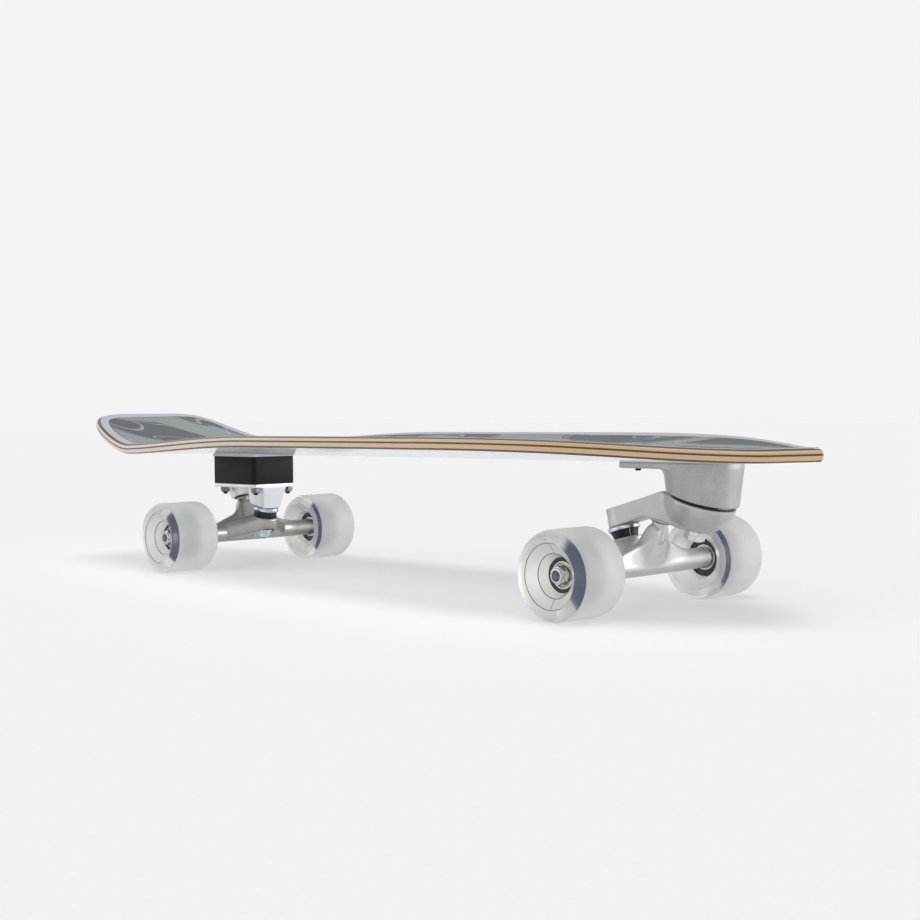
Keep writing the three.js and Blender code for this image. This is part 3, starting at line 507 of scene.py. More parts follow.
def moulded(name, dark, light, rough_low, rough_high, scale=500, strength=0.25, specular=0.5):
    return surface(name, (scale / 6, 4, 0.6), dark, light, (rough_low, rough_high), (scale * 3, 3, 0.6),
                   strength, 0.0001, Specular_IOR_Level=specular)


def wood_material():
    """Dark and warm plies from the depth attribute, warmer to the nose, with a clear coat."""
    m = Nodes("maple_plies")
    black, white = (0, 0, 0), (1, 1, 1)
    grain = m.noise(26, 5, 0.65, (1, 12, 14))
    wavy = m.math("MULTIPLY_ADD", m.math("SUBTRACT", grain, 0.5), 0.035, m.attribute("depth"))
    along = m.node("SeparateXYZ", 0, {0: m.place()})
    uneven = m.math("MULTIPLY_ADD", m.noise(3.5, 2, 0.5, (1, 0.2, 0.2)), 0.3, along)
    warm = m.mix(m.span(uneven, 0.0, 1.0, -0.15, 0.45), colour(216, 204, 186), colour(202, 170, 130))
    ink = m.ramp(wavy, [(0.0, white), (0.075, white), (0.115, black), (0.35, black), (0.385, white),
                        (0.5, white), (0.54, black), (0.85, black), (0.885, white)])
    plies = m.mix(ink, warm, colour(34, 24, 20))
    fine = m.noise(90, 3, 0.6, (1.5, 20, 20))
    m.shade(Coat_Weight=0.35, Coat_Roughness=0.12, Roughness=m.span(grain, 0.34, 0.5, 0, 1),
            Base_Color=m.mix(m.span(fine, 0.0, 0.2, 0.4, 0.75), plies, colour(150, 128, 104)))
    return m.bump(fine, 0.15, 0.0002)


def grip_material():
    """Charcoal grit with flowing mid-grey shapes, thin light lines and a pale border."""
    m = Nodes("printed_grip")
    border = 15.5
    plan = m.place((1, 1, 0))
    warp = m.noise(5.5, 1.5, 0.5, vector=plan, output="Color")
    push = m.node("VectorMath", "Vector", {0: warp, 1: (0.16, 0.16, 0), 2: plan}, operation="MULTIPLY_ADD")
    flow, fold = (m.noise(1, detail, 0.4, vector=m.node("VectorMath", "Vector", {0: push, 1: (*scale, 1)},
                                                        operation="MULTIPLY"))
                  for detail, scale in ((1.2, (9.5, 17)), (1.0, (13, 24))))
    shapes = m.ramp(flow, [(0.515, (0, 0, 0)), (0.522, (1, 1, 1))])
    grit = m.noise(1300, 3, 0.75)
    charcoal = m.ramp(grit, [(0.35, colour(58, 61, 64)), (0.5, colour(82, 86, 89)),
                             (0.66, colour(112, 116, 118))])
    look = m.mix(shapes, charcoal, m.mix(m.noise(7, 2, 0.5), colour(128, 138, 142), colour(140, 147, 146)))
    look = m.mix(m.math("MULTIPLY", m.near(fold, 0.56, 0.006), 0.75), look, colour(160, 166, 170))
    look = m.mix(m.math("MULTIPLY", m.near(flow, 0.5, 0.0045), 0.8), look, colour(150, 156, 160))
    wander = m.math("MULTIPLY_ADD", m.math("SUBTRACT", m.noise(6, 1, 0.5), 0.5), 14, m.attribute("edge"))
    pale = m.mix(grit, colour(172, 173, 180), colour(186, 187, 194))
    look = m.mix(m.math("GREATER_THAN", wander, border), pale, look)
    m.shade(Base_Color=m.mix(m.near(wander, border, 0.55), look, colour(66, 70, 76)),
            Roughness=m.span(grit, 0.62, 0.86))
    return m.bump(grit, 0.5, 0.0003)


def face_material():
    """Clear glossy faces with two printed rings and four divider ticks, in the wheel's own plane."""
    m = Nodes("urethane_face")
    radius = m.attribute("radius")
    rings = m.math("MAXIMUM", m.near(radius, 25.0, 0.2), m.near(radius, 17.1, 0.22))
    sector = m.math("PINGPONG", m.attribute("angle"), 0.125)
    tick = m.math("MULTIPLY", m.math("LESS_THAN", m.math("MULTIPLY", sector, radius), 0.035),
                  m.near(radius, 21.05, 3.95))
    ink = m.math("MULTIPLY", m.math("MAXIMUM", rings, tick), m.attribute("outer"))
    haze = m.noise(45, 3, 0.5)
    body = m.two_tone(haze, (212, 213, 208), (224, 225, 220))
    m.shade(IOR=URETHANE_IOR, Base_Color=m.mix(ink, body, colour(70, 70, 68)),
            Roughness=m.span(haze, 0.05, 0.12), Transmission_Weight=m.span(ink, 0.45, 0.0, 0, 1))
    return m.bump(haze, 0.04, 0.0002)


URETHANE_IOR = 1.49
LOOK = Named(
    cast_light=cast_metal("cast_light", (152, 152, 152), (168, 168, 167), 0.3, 0.38, 0.2),
    # A lighter copy of the cast aluminium for the swing arm: painted light that brightens the bowl over the
    # shaded floor
    cast_arm=cast_metal("cast_arm", (170, 170, 169), (184, 184, 183), 0.3, 0.38, 0.2),
    cast_pale=cast_metal("cast_pale", (182, 182, 181), (196, 196, 195), 0.32, 0.4, 0.2),
    cast_bright=cast_metal("cast_bright", (204, 206, 209), (222, 224, 227), 0.3, 0.38, 0.3),
    cast_grey=cast_metal("cast_grey", (156, 154, 150), (174, 172, 168), 0.26, 0.34, 0.15, 0.85),
    steel=plated("steel", (176, 180, 184), (214, 218, 222), 0.16),
    dark_steel=plated("dark_steel", (70, 72, 74), (110, 112, 114), 0.3),
    zinc=plated("zinc", (160, 182, 194), (214, 226, 232), 0.12),
    zinc_dark=plated("zinc_dark", (34, 40, 48), (132, 142, 150), 0.24, 620),
    black=plated("black_steel", (24, 24, 26), (44, 44, 46), 0.34),
    # Real brass on the sleeve and thrust bearing; on the seal it is a painted highlight in the groove
    brass=plated("brass_and_seal_highlight", (176, 160, 120), (216, 204, 168), 0.2),
    shield=plated("bearing_shield", (126, 128, 98), (168, 168, 136), 0.2),
    riser=moulded("riser_plastic", (9, 9, 10), (15, 15, 16), 0.42, 0.52, specular=0.16),
    pad=moulded("pad_rubber", (150, 154, 158), (172, 175, 178), 0.45, 0.6),
    rubber=moulded("rubber", (9, 9, 10), (19, 19, 20), 0.3, 0.45, specular=0.35),
    core=moulded("core_plastic", (20, 21, 24), (38, 40, 44), 0.36, 0.5),
    core_side=moulded("core_side", (10, 34, 68), (28, 58, 96), 0.4, 0.5, 200, 0.0),
    maple=wood_material(),
    underside=surface("lacquered_underside", (18, 5, 0.6, (1, 9, 1)), (214, 215, 218), (221, 222, 224),
                      (0.22, 0.34, 0, 1), (60, 3, 0.5, (1, 8, 1)), 0.02, 0.0002, Coat_Weight=0.6,
                      Coat_Roughness=0.05),
    grip=grip_material(),
    tread=surface("urethane_tread", (60, 3, 0.5), (208, 209, 206), (216, 217, 214), (0.56, 0.66),
                  (900, 3, 0.6), 0.12, 0.0001, IOR=URETHANE_IOR, Transmission_Weight=0.45),
    face=face_material(),
    lip=surface("urethane_lip", (45, 3, 0.5), (222, 224, 223), (232, 233, 232), (0.16, 0.24), (45, 3, 0.5),
                0.02, 0.0002, IOR=URETHANE_IOR, Transmission_Weight=0.96),
)


# Deck
def half_width(u):
    share = min(max(u, DECK_SHARE.tip), 1 - DECK_SHARE.tip)
    back = max(0.0, (DECK_SHARE.widest - share) / DECK_SHARE.widest)
    body = (DECK.width - (DECK.width - DECK.tail_width) * back ** DECK_POWER.body) / 2
    tail = min(1.0, share / DECK_SHARE.tail)
    nose = min(1.0, (1 - share) / DECK_SHARE.nose)
    tail_round = (1 - (1 - tail) ** DECK_POWER.tail) ** (1 / DECK_POWER.tail)
    nose_round = (1 - (1 - nose) ** DECK_POWER.nose) ** (1 / DECK_POWER.nose_tip)
    return body * tail_round * nose_round


def rise(u, y):
    """How far the deck's surface stands above its level middle."""
    kick = max(0.0, (DECK_SHARE.kick - u) / DECK_SHARE.kick)
    nose = max(0.0, (u - 1 + DECK_SHARE.nose_kick) / DECK_SHARE.nose_kick)
    start, full = DECK_SHARE.dish_start, DECK_SHARE.dish_full
    t = min(1.0, max(0.0, (u - start) / (full - start)))
    side = max(0.0, (2 * abs(y) - DECK.flat) / (DECK.width - DECK.flat))
    return (DECK.tail_rise * kick ** DECK_POWER.kick + DECK.nose_rise * nose ** DECK_POWER.nose_kick
            + DECK.dish * t * t * (3 - 2 * t) * side ** DECK_POWER.dish)


def deck_sheet(layers, *looks):
    """A closed sheet bent to the deck. Each layer is (inset, height)."""
    long, across = DECK_STEPS
    last = len(layers) - 1

    def spot(i, j, layer):
        inset, height = layers[layer]
        u = (1 - cos(pi * i / long)) / 2
        x = (u - 0.5) * (DECK.length - 2 * inset)
        half = max(half_width(u) - inset, half_width(0) * DECK_SHARE.tip)
        y = sin(pi / 2 * (2 * j / across - 1)) * half
        return x, y, height + rise(x / DECK.length + 0.5, y)

    verts, index_of = [], {}

    def corner(i, j, layer):
        key = (i, j, layer)
        if key not in index_of:
            index_of[key] = len(verts)
            verts.append(spot(i, j, layer))
        return index_of[key]

    faces, bands = [], []
    for i in range(long):
        for j in range(across):
            faces.append([corner(*c, 0) for c in ((i, j), (i, j + 1), (i + 1, j + 1), (i + 1, j))])
            faces.append([corner(*c, last) for c in ((i, j), (i + 1, j), (i + 1, j + 1), (i, j + 1))])
            bands += [0, 1]
    around = [(i, 0) for i in range(long)] + [(long, j) for j in range(across)]
    around += [(i, across) for i in range(long, 0, -1)] + [(0, j) for j in range(across, 0, -1)]
    for layer in range(last):
        for (a, b), (c, d) in zip(around, around[1:] + around[:1]):
            faces.append([corner(a, b, layer), corner(c, d, layer),
                          corner(c, d, layer + 1), corner(a, b, layer + 1)])
            bands.append(1)
    return dressed(face_outwards(new_object(verts, faces, BOARD, bands)), *looks)


def float_attribute(made, name, values):
    attribute = made.data.attributes.new(name, "FLOAT", "POINT")
    attribute.data.foreach_set("value", np.array(values, np.float32))


def edge_layers(low, high, radius, steps=4):
    """Layers of a sheet's edge, rounded at the bottom and the top."""
    turns = [pi / 2 * k / steps for k in range(steps + 1)]
    return ([(radius * (1 - sin(a)), low + radius * (1 - cos(a))) for a in turns]
            + [(radius * (1 - cos(a)), high - radius * (1 - sin(a))) for a in turns])


FRONT_BOLT_X = [FRONT_AXLE_X + BASE.bolt_x, FRONT_AXLE_X + BASE.bolt_x + BOLT.space_x]
REAR_BOLT_X = [REAR_AXLE_X - REAR.bolt_x, REAR_AXLE_X - REAR.bolt_x + BOLT.space_x]
BOLT_Y = [BOLT.space_y / 2, -BOLT.space_y / 2]


def bolt_tools(radius_low, radius_high, low, high, top):
    """Stepped cutters over all eight deck bolts."""
    profile = [(0, low), (radius_low, low), (radius_high, high), (radius_high, top), (0, top)]
    return [revolve(profile, 24, Matrix.Translation((x, y, 0)))
            for x in FRONT_BOLT_X + REAR_BOLT_X for y in BOLT_Y]


def make_deck():
    looks = LOOK.underside, LOOK.maple
    deck = deck_sheet(edge_layers(DECK_UNDER, DECK_TOP, DECK.edge), *looks)
    above = DECK_TOP + OVER * 2
    cut(deck, *bolt_tools(BOLT.hole, BOLT.hole, DECK_UNDER - OVER, DECK_TOP, above))
    cut(deck, *bolt_tools(BOLT.hole, BOLT.head + GAP, DECK_TOP - BOLT.cone - GAP, DECK_TOP - GAP, above))
    co = [v.co / MM for v in deck.data.vertices]
    depth = [1 - (c.z - DECK_UNDER - rise(c.x / DECK.length + 0.5, c.y)) / DECK.thick for c in co]
    float_attribute(deck, "depth", depth)
    stand_in(deck, "deck", "maple", *looks)


def make_grip():
    inset, head = DECK.round + GRIP.margin, BOLT.head + GAP
    layers = [(inset, DECK_TOP + GAP), (inset, GRIP_TOP - 0.3), (inset + 0.3, GRIP_TOP)]
    holes = bolt_tools(head, head, DECK_TOP, GRIP_TOP, GRIP_TOP + OVER * 2)
    grip = cut(deck_sheet(layers, LOOK.grip), *holes)
    float_attribute(grip, "edge", edge_distance(np.array([v.co for v in grip.data.vertices]) / MM))
    stand_in(grip, "grip_sheet", "grip", LOOK.grip)


def edge_distance(co):
    """How far each point is from the deck's outline, seen from above."""
    steps = 240
    line = [((1 - cos(pi * k / steps)) / 2) for k in range(steps + 1)]
    outline = np.array([(-DECK.length / 2, 0), *[((u - 0.5) * DECK.length, half_width(u)) for u in line]])
    points = np.column_stack([co[:, 0], np.abs(co[:, 1])])
    a, d = outline[:-1], outline[1:] - outline[:-1]
    t = np.clip(np.einsum("pij,ij->pi", points[:, None] - a, d) / np.maximum((d * d).sum(1), LINE), 0, 1)
    near = a + t[..., None] * d
    return np.sqrt(((points[:, None] - near) ** 2).sum(2)).min(1)


def bolt_piece(node, x, y, low, nut_low=None):
    """A countersunk bolt with a hexagon socket, and its nut where it has one."""
    shank, head, top, cone_top = BOLT.shank, BOLT.head, GRIP_TOP, GRIP_TOP - BOLT.head_height
    turn = low + BOLT.tip
    profile = [(0, low), (shank - 0.5, low), (shank, turn)]
    while turn < low + BOLT.threaded:
        profile += [(shank, turn + 0.3), (shank - BOLT.groove, turn + 0.5), (shank, turn + BOLT.pitch)]
        turn += BOLT.pitch
    profile += [(shank, cone_top - BOLT.cone), (head, cone_top), (head, top - BOLT.edge),
                (head - BOLT.edge, top), (0, top)]
    place = Matrix.Translation((x, y, 0))
    bolt = cut(revolve(profile, 24, place),
               bar(BOLT.socket, top - BOLT.socket_depth, top + OVER, HEXAGON, place))
    dressed(bolt, LOOK.black)
    if nut_low is not None:
        nut_top = nut_low + BOLT.nut_height
        nut = hexagon_nut(BOLT.nut, nut_low + BOLT.collar, nut_top, place, 0.5)
        joined(nut, revolve(rod(BOLT.nut * 0.8, nut_low, nut_low + BOLT.collar + 0.3, 0.5), 24, place))
        dressed(nut, LOOK.zinc_dark)
        cut(nut, bar(shank - 0.4, nut_low - OVER, nut_top + OVER, 24, place))
        merge(bolt, nut)
    placed(bolt, node)


def merge(first, second):
    """Makes one piece of two, each with its own material."""
    bpy.ops.object.select_all(action="DESELECT")
    for made in (first, second):
        made.select_set(True)
    bpy.context.view_layer.objects.active = first
    bpy.ops.object.join()


def hexagon_nut(corner, low, high, place, chamfer, spin=BOARD):
    """A hexagonal nut body with its corners turned down at both ends."""
    wide, cone = corner + 0.1, chamfer * 0.6
    face = corner - chamfer
    drum = [(0, low), (face, low), (wide, low + cone), (wide, high - cone), (face, high), (0, high)]
    return common(bar(corner, low, high, HEXAGON, place, spin), revolve(drum, 48, place, spin))


def make_bolts():
    nut_low = AXLE_HEIGHT + REAR.height - REAR.plate - GAP - BOLT.nut_height
    for side, y in zip(("left", "right"), BOLT_Y):
        bolt_piece(f"front_bolt_tail_{side}", FRONT_BOLT_X[0], y, DECK_UNDER - BASE.plate - BOLT.proud)
        bolt_piece(f"front_bolt_nose_{side}", FRONT_BOLT_X[1], y, DECK_UNDER - BASE.blind + GAP)
        bolt_piece(f"rear_bolt_tail_{side}", REAR_BOLT_X[0], y, nut_low - BOLT.proud, nut_low)
        bolt_piece(f"rear_bolt_nose_{side}", REAR_BOLT_X[1], y, nut_low - BOLT.proud, nut_low)


# Wheels
def wheel_half(rim, hub_face):
    half = WHEEL.width / 2
    r, lip = WHEEL.radius, WHEEL.lip
    arc = [(r - lip + lip * cos(a), half - lip + lip * sin(a))
           for a in (radians(d) for d in range(0, 90, 9))]
    face = rounded([(r - lip, half), (WHEEL.ring + 0.4, half - WHEEL.ring_depth * 0.35),
                    (WHEEL.ring, half - WHEEL.ring_depth), (WHEEL.dish, half - WHEEL.dish_depth),
                    (rim, hub_face)], [0, 0.5, 0.6, 2.5, 0], steps=4)
    return arc, face


def make_tyre(node, place):
    """Its profile runs over the outer face, the tread, the inner face and the bore."""
    on_face, on_tread, on_lip, on_bore = range(4)
    arc, face = wheel_half(CORE.rim + GAP, HUB_OUTER + CORE.proud)
    inner_arc, inner_face = wheel_half(CORE.inner_rim + GAP, -HUB_INNER + CORE.proud)
    outer = [*face[::-1], *arc[::-1]]
    inner = [(r, -h) for r, h in (*inner_arc, *inner_face)]
    belly = CORE.belly + GAP
    profile = [*outer, *inner, (belly, -WHEEL.offset - BEARING.spread),
               (belly, -WHEEL.offset + BEARING.spread / 2), outer[0]]
    clear = 3  # steps of the arc that show the tread's satin, on each side of its edge
    tread_start, tread_end = len(outer) - 1 - clear, len(outer) + clear
    lip_start, lip_end = len(face) - 1, tread_end + 3
    bore_start = len(outer) + len(inner) - 1
    bands = [on_bore if i >= bore_start else on_tread if tread_start <= i < tread_end
             else on_lip if lip_start <= i < lip_end else on_face for i in range(len(profile) - 1)]
    tyre = revolve(profile, 96, place, ACROSS, bands)
    centre = place @ Vector((0, 0, 0))
    out = place @ Vector((0, 1, 0)) - centre
    local = [v.co - centre * MM for v in tyre.data.vertices]
    float_attribute(tyre, "radius", [hypot(p.x, p.z) / MM for p in local])
    float_attribute(tyre, "outer", [1.0 if p.dot(out) > 0 else 0.0 for p in local])
    float_attribute(tyre, "angle", [0.5 + atan2(p.z, p.x) / (2 * pi) for p in local])
    stand_in(tyre, node, "urethane", LOOK.face, LOOK.tread, LOOK.lip, LOOK.core_side)


def make_core(node, place):
    """A hub with a land between its bearings, and teeth at its inner end."""
    high, low = HUB_OUTER + CORE.proud, HUB_INNER - CORE.proud
    seat, land = BEARING.outer + RUNNING_GAP, CORE.land
    land_high = HUB_OUTER - BEARING.width - GAP
    land_low = HUB_INNER + BEARING.width + GAP
    corners = [(seat, high), (CORE.rim, high), (CORE.belly, -WHEEL.offset + BEARING.spread / 2),
               (CORE.belly, -WHEEL.offset - BEARING.spread), (CORE.inner_rim, low), (seat, low),
               (seat, land_low), (land, land_low), (land, land_high), (seat, land_high)]
    core = revolve(loop(corners, [0.3, 0.4, 1, 1, 0.4, 0.3, 0.1, 0.2, 0.2, 0.1], 2), 64, place, ACROSS)
    notch = rounded_box(CORE.rim + 0.1, CORE.inner_rim + OVER, CORE.tooth_half, 0.5, 3)
    for k in range(CORE.teeth):
        turn = Matrix.Rotation(2 * pi * k / CORE.teeth, 4, "Z")
        cut(core, prism(notch, low - OVER, HUB_INNER + CORE.tooth_depth, place, ACROSS @ turn))
    centre = place @ Vector((0, 0, 0)) * MM
    for polygon in core.data.polygons:
        p = polygon.center - centre
        polygon.material_index = 1 if hypot(p.x, p.z) > (CORE.inner_rim + 0.3) * MM else 0
    stand_in(core, node, "core", LOOK.core, LOOK.core_side)


def make_bearing(node, outer_face, place):
    """Outer ring, recessed shield and inner ring, in one turned section."""
    bore, outer = BEARING.inner + RUNNING_GAP, BEARING.outer
    race_in, race_out, low = BEARING.race_in, BEARING.race_out, BEARING.recess
    middle = outer_face - BEARING.width / 2
    depths = [(bore, 0.3), (bore + 0.3, 0), (race_in - 0.2, 0), (race_in, 0.2), (race_in, low),
              (race_in + 0.5, low - 0.2), (race_out - 0.5, low - 0.2), (race_out, low), (race_out, 0.2),
              (race_out + 0.2, 0), (outer - 0.5, 0), (outer, 0.5)]
    half = [(r, outer_face - depth) for r, depth in depths]
    profile = [*half, *[(r, 2 * middle - h) for r, h in half[::-1]], half[0]]
    bands = [int(race_in - LINE <= min(a[0], b[0]) and max(a[0], b[0]) <= race_out + LINE)
             for a, b in zip(profile, profile[1:])]
    stand_in(revolve(profile, 56, place, ACROSS, bands), node, "bearing", LOOK.steel, LOOK.shield)


def make_axle_nut(node, place):
    washer_low = HUB_OUTER + GAP
    nut_low = washer_low + AXLE_NUT.washer_height
    top = nut_low + AXLE_NUT.height
    washer = revolve(rod(AXLE_NUT.washer, washer_low, nut_low + 0.05, 0.15), 40, place, ACROSS)
    nut = hexagon_nut(AXLE_NUT.corner, nut_low, top - AXLE_NUT.collar_height, place, 0.8, ACROSS)
    collar = rod(AXLE_NUT.collar, top - AXLE_NUT.collar_height - 0.5, top, 0.9)
    joined(nut, washer, revolve(collar, 40, place, ACROSS))
    cut(nut, bar(AXLE.radius + RUNNING_GAP, washer_low - OVER, top + OVER, 32, place, ACROSS))
    stand_in(nut, node, "steel", LOOK.steel)


def threaded(size, low, high):
    """The profile of a rod's threaded end, from its tip upwards."""
    radius, chamfer, pitch = size.radius, AXLE.chamfer, size.pitch
    z = low + chamfer
    profile = [(0, low), (radius - chamfer, low), (radius, z)]
    while z + pitch < high:
        profile += [(radius - size.groove, z + pitch / 2), (radius, z + pitch)]
        z += pitch
    return profile


def make_axle(node, place):
    end = TRACK / 2 + HUB_OUTER + GAP + AXLE_NUT.washer_height + AXLE_NUT.height + AXLE.proud
    one = threaded(AXLE, -end, -end + AXLE.threaded)
    profile = [*one, *[(r, -h) for r, h in one[::-1]]]
    stand_in(revolve(profile, 32, place, ACROSS), node, "steel", LOOK.dark_steel)


def make_wheels(prefix, truck, left_side):
    for name, side in (("left", left_side), ("right", -left_side)):
        turn = BOARD if side > 0 else Matrix.Rotation(pi, 4, "Z")
        place = truck @ Matrix.Translation((0, side * TRACK / 2, 0)) @ turn
        wheel = f"{prefix}_{name}_"
        make_tyre(wheel + "tyre", place)
        make_core(wheel + "wheel_core", place)
        make_bearing(wheel + "bearing_outer", HUB_OUTER, place)
        make_bearing(wheel + "bearing_inner", HUB_INNER + BEARING.width, place)
        make_axle_nut(wheel + "axle_nut", place)


# Kingpin trucks. Distances along the kingpin are counted down from the board washer's seat.
WASHER_LOW = -GAP - CUP_WASHER.thick
RING_TOP = WASHER_LOW - GAP - BUSHING.height + HANGER.top_depth
RING_LOW = RING_TOP - HANGER.ring_height
ROAD_WASHER_TOP = RING_LOW - ROAD_BUSHING.show - GAP
ROAD_WASHER_LOW = ROAD_WASHER_TOP - FLAT_WASHER.thick
KING_NUT_TOP = ROAD_WASHER_LOW - GAP
KING_NUT_LOW = KING_NUT_TOP - KINGPIN.nut
KINGPIN_LOW = KING_NUT_LOW - KINGPIN.proud


def make_kingpin(prefix, at, head_top):
    neck = head_top - KINGPIN.head
    profile = threaded(KINGPIN, KINGPIN_LOW, KING_NUT_TOP + KINGPIN.threaded)
    pin = revolve([*profile, (KINGPIN.radius, neck + 1), (0, neck + 1)], 32, at)
    joined(pin, hexagon_nut(KINGPIN.corner, neck, head_top, at, 0.8))
    stand_in(pin, f"{prefix}_kingpin", "steel", LOOK.steel)


def make_king_nut(prefix, at):
    hexagon_low = KING_NUT_LOW + KINGPIN.collar_height
    nut = hexagon_nut(KINGPIN.corner, hexagon_low, KING_NUT_TOP, at, 0.9)
    joined(nut, revolve(rod(KINGPIN.collar, KING_NUT_LOW, hexagon_low + 0.5, 1.0), 40, at))
    cut(nut, bar(KINGPIN.radius + GAP, KING_NUT_LOW - OVER, KING_NUT_TOP + OVER, 32, at))
    stand_in(nut, f"{prefix}_kingpin_nut", "zinc", LOOK.zinc)


def make_washers(prefix, at):
    hole, radius, rim_low = KINGPIN.hole, CUP_WASHER.radius, WASHER_LOW - CUP_WASHER.rim
    inner = radius - CUP_WASHER.wall
    cup = loop([(hole, WASHER_LOW), (inner, WASHER_LOW), (inner, rim_low), (radius, rim_low),
                (radius, -GAP), (hole, -GAP)], [0.2, 0.6, 0.4, 0.4, 1.3, 0.2], 4)
    stand_in(revolve(cup, 64, at), f"{prefix}_cup_washer", "zinc", LOOK.zinc)
    flat = ring(hole, FLAT_WASHER.radius, ROAD_WASHER_LOW, ROAD_WASHER_TOP, 0.4)
    stand_in(revolve(flat, 56, at), f"{prefix}_flat_washer", "zinc", LOOK.zinc)


def make_bushings(prefix, at, tip):
    """The board's bushing with its mould line, a thin ridge painted grey as a highlight, and the road's."""
    bore, wide, top = BUSHING.bore, BUSHING.wide, WASHER_LOW - GAP
    low = top - BUSHING.height + GAP
    profile = loop([(bore, low), (tip, low), ((wide + tip) / 2, (top + low) / 2),
                    (wide, top - CUP_WASHER.rim), (wide, top), (bore, top)], [0.3, 0.8, 4, 0.8, 0.4, 0.3], 5)
    side = [(r, h) for r, h in profile[:-1] if r > tip - 1]
    outline = [*[(r + MOULD_LINE_PAINTED_HIGHLIGHT.proud, h) for r, h in side], *[(r - 1, h) for r, h in side[::-1]]]
    turn = Matrix.Rotation(radians(MOULD_LINE_PAINTED_HIGHLIGHT.turn), 4, "Z")
    line = side_prism(outline, MOULD_LINE_PAINTED_HIGHLIGHT.half, at @ turn)
    # The mould line's faces take the grey pad look: a painted highlight on the rubber
    line.data.polygons.foreach_set("material_index", [1] * len(line.data.polygons))
    looks = LOOK.rubber, LOOK.pad
    bushing = joined(dressed(revolve(profile, 64, at), *looks), dressed(line, *looks))
    stand_in(bushing, f"{prefix}_bushing_board", "rubber", *looks)
    top, low = RING_LOW + HANGER.road_depth - GAP, ROAD_WASHER_TOP + GAP
    road = loop([(bore, low), (ROAD_BUSHING.tip, low), (ROAD_BUSHING.radius, top), (bore, top)], 0.6, 4)
    stand_in(revolve(road, 56, at), f"{prefix}_bushing_road", "rubber", LOOK.rubber)


def cup_outline(grow):
    tip = PIVOT.tip_depth + PIVOT.tip + GAP + PIVOT_CUP.floor + grow
    return PIVOT_CUP.outer + grow, PIVOT.tip_depth, tip, PIVOT_CUP.crown + grow


def cup_recess(place):
    radius, shoulder, tip, crown = cup_outline(GAP)
    profile = [(0, -OVER), (radius, -OVER), (radius, shoulder), (crown, tip), (0, tip)]
    return revolve(profile, 48, place @ PIVOT_FRAME)


def make_pivot_cup(prefix, truck):
    radius, shoulder, tip, crown = cup_outline(0)
    mouth, lip, bore = PIVOT_CUP.mouth, -PIVOT_CUP.lip, PIVOT_CUP.bore
    floor = PIVOT.tip_depth + PIVOT.tip + GAP
    profile = rounded([(mouth, lip), (radius, lip), (radius, shoulder), (crown, tip), (0, tip)],
                      [0.3, 0.4, 1, 1, 0], steps=3)
    profile += [(0, floor), (PIVOT_CUP.floor_radius, floor), (bore, PIVOT.tip_depth + bore / 2),
                (bore, PIVOT.tip_depth), (mouth, lip)]
    stand_in(revolve(profile, 48, truck @ PIVOT_FRAME), f"{prefix}_pivot_cup", "rubber", LOOK.rubber)


def hanger_form(truck, seat, at):
    """Tube, wings, stem, fairing and ring run together as one casting."""
    end = TRACK / 2 - BEARING.width - BEARING.spread / 2 - WHEEL.offset - GAP
    tube_half = rounded([(HANGER.tube, HANGER.waist), (HANGER.end, end - 1), (HANGER.end, end),
                         (0, end)], [0, 0, 0.8, 0], steps=3)
    tube = revolve([*[(r, -y) for r, y in tube_half[::-1]], *tube_half], 64, truck, ACROSS)
    tip_depth, tip, root_depth = PIVOT.tip_depth, PIVOT.tip, PIVOT.root_depth
    ball = [(tip * cos(t), tip_depth + tip * sin(t)) for t in np.linspace(0, pi / 2, 7)]
    stem = revolve([(0, -root_depth), (PIVOT.root, -root_depth), (PIVOT.neck, 0), *ball[:-1],
                    (0, tip_depth + tip)], 48, truck @ PIVOT_FRAME)
    here = kingpin_frame(seat)
    points = circle_points(HANGER.ring - 1, RING_LOW, here)
    points += circle_points(HANGER.ring - 1, RING_TOP - 1, here)
    for y in (-FAIRING.half, FAIRING.half):
        points += circle_points(FAIRING.radius, y, ACROSS)
    return joined(tube, lofted(wing_sections(), truck), stem, wrapped(points, truck),
                  revolve(rod(HANGER.ring, RING_LOW, RING_TOP, 1.2), 64, at))


def wing_sections():
    """Sections across the axle: the tube's circle and the wing's rounded ridge, wrapped."""
    heights = smooth_curve(WING_RIDGE, 6)
    slope = PIVOT.x / PIVOT.z
    made = []
    for y in np.linspace(-WING_SPAN, WING_SPAN, 81):
        top = float(np.interp(abs(y), heights[:, 0], heights[:, 1]))
        share = min(1.0, max(0.0, (WING_ROUND.start - abs(y)) / WING_ROUND.reach))
        radius = WING_ROUND.thin + WING_ROUND.more * share * share * (3 - 2 * share)
        centre = top - radius
        tube = float(np.interp(abs(y), (HANGER.waist, WING_SPAN), (HANGER.tube, HANGER.end))) - 0.2
        outline = wrapped_circles([(0, 0, tube), (centre * slope, centre, radius)])
        made.append([(x, float(y), z) for x, z in outline])
    return made


def make_hanger(prefix, truck, seat, at, look, slot):
    hanger = cast_form(hanger_form(truck, seat, at), 0.8, 8)
    for radius, low, high in ((HANGER.ring_hole, RING_LOW - OVER, RING_TOP + OVER),
                              (HANGER.top_seat, RING_TOP - HANGER.top_depth, RING_TOP + seat.z),
                              (HANGER.road_seat, RING_LOW - OVER, RING_LOW + HANGER.road_depth),
                              (HANGER.relief, KINGPIN_LOW - OVER, RING_LOW)):
        cut(hanger, bar(radius, low, high, 64, at))
    cut(hanger, bar(AXLE.radius + RUNNING_GAP, -TRACK, TRACK, 32, truck, ACROSS))
    stand_in(hanger, f"{prefix}_hanger", slot, look)


def make_kingpin_truck(prefix, truck, seat, head_top, tip, left_side, look, slot):
    at = truck @ kingpin_frame(seat)
    make_kingpin(prefix, at, head_top)
    make_king_nut(prefix, at)
    make_washers(prefix, at)
    make_bushings(prefix, at, tip)
    make_pivot_cup(prefix, truck)
    make_hanger(prefix, truck, seat, at, look, slot)
    make_axle(f"{prefix}_axle", truck)
    make_wheels(prefix, truck, left_side)


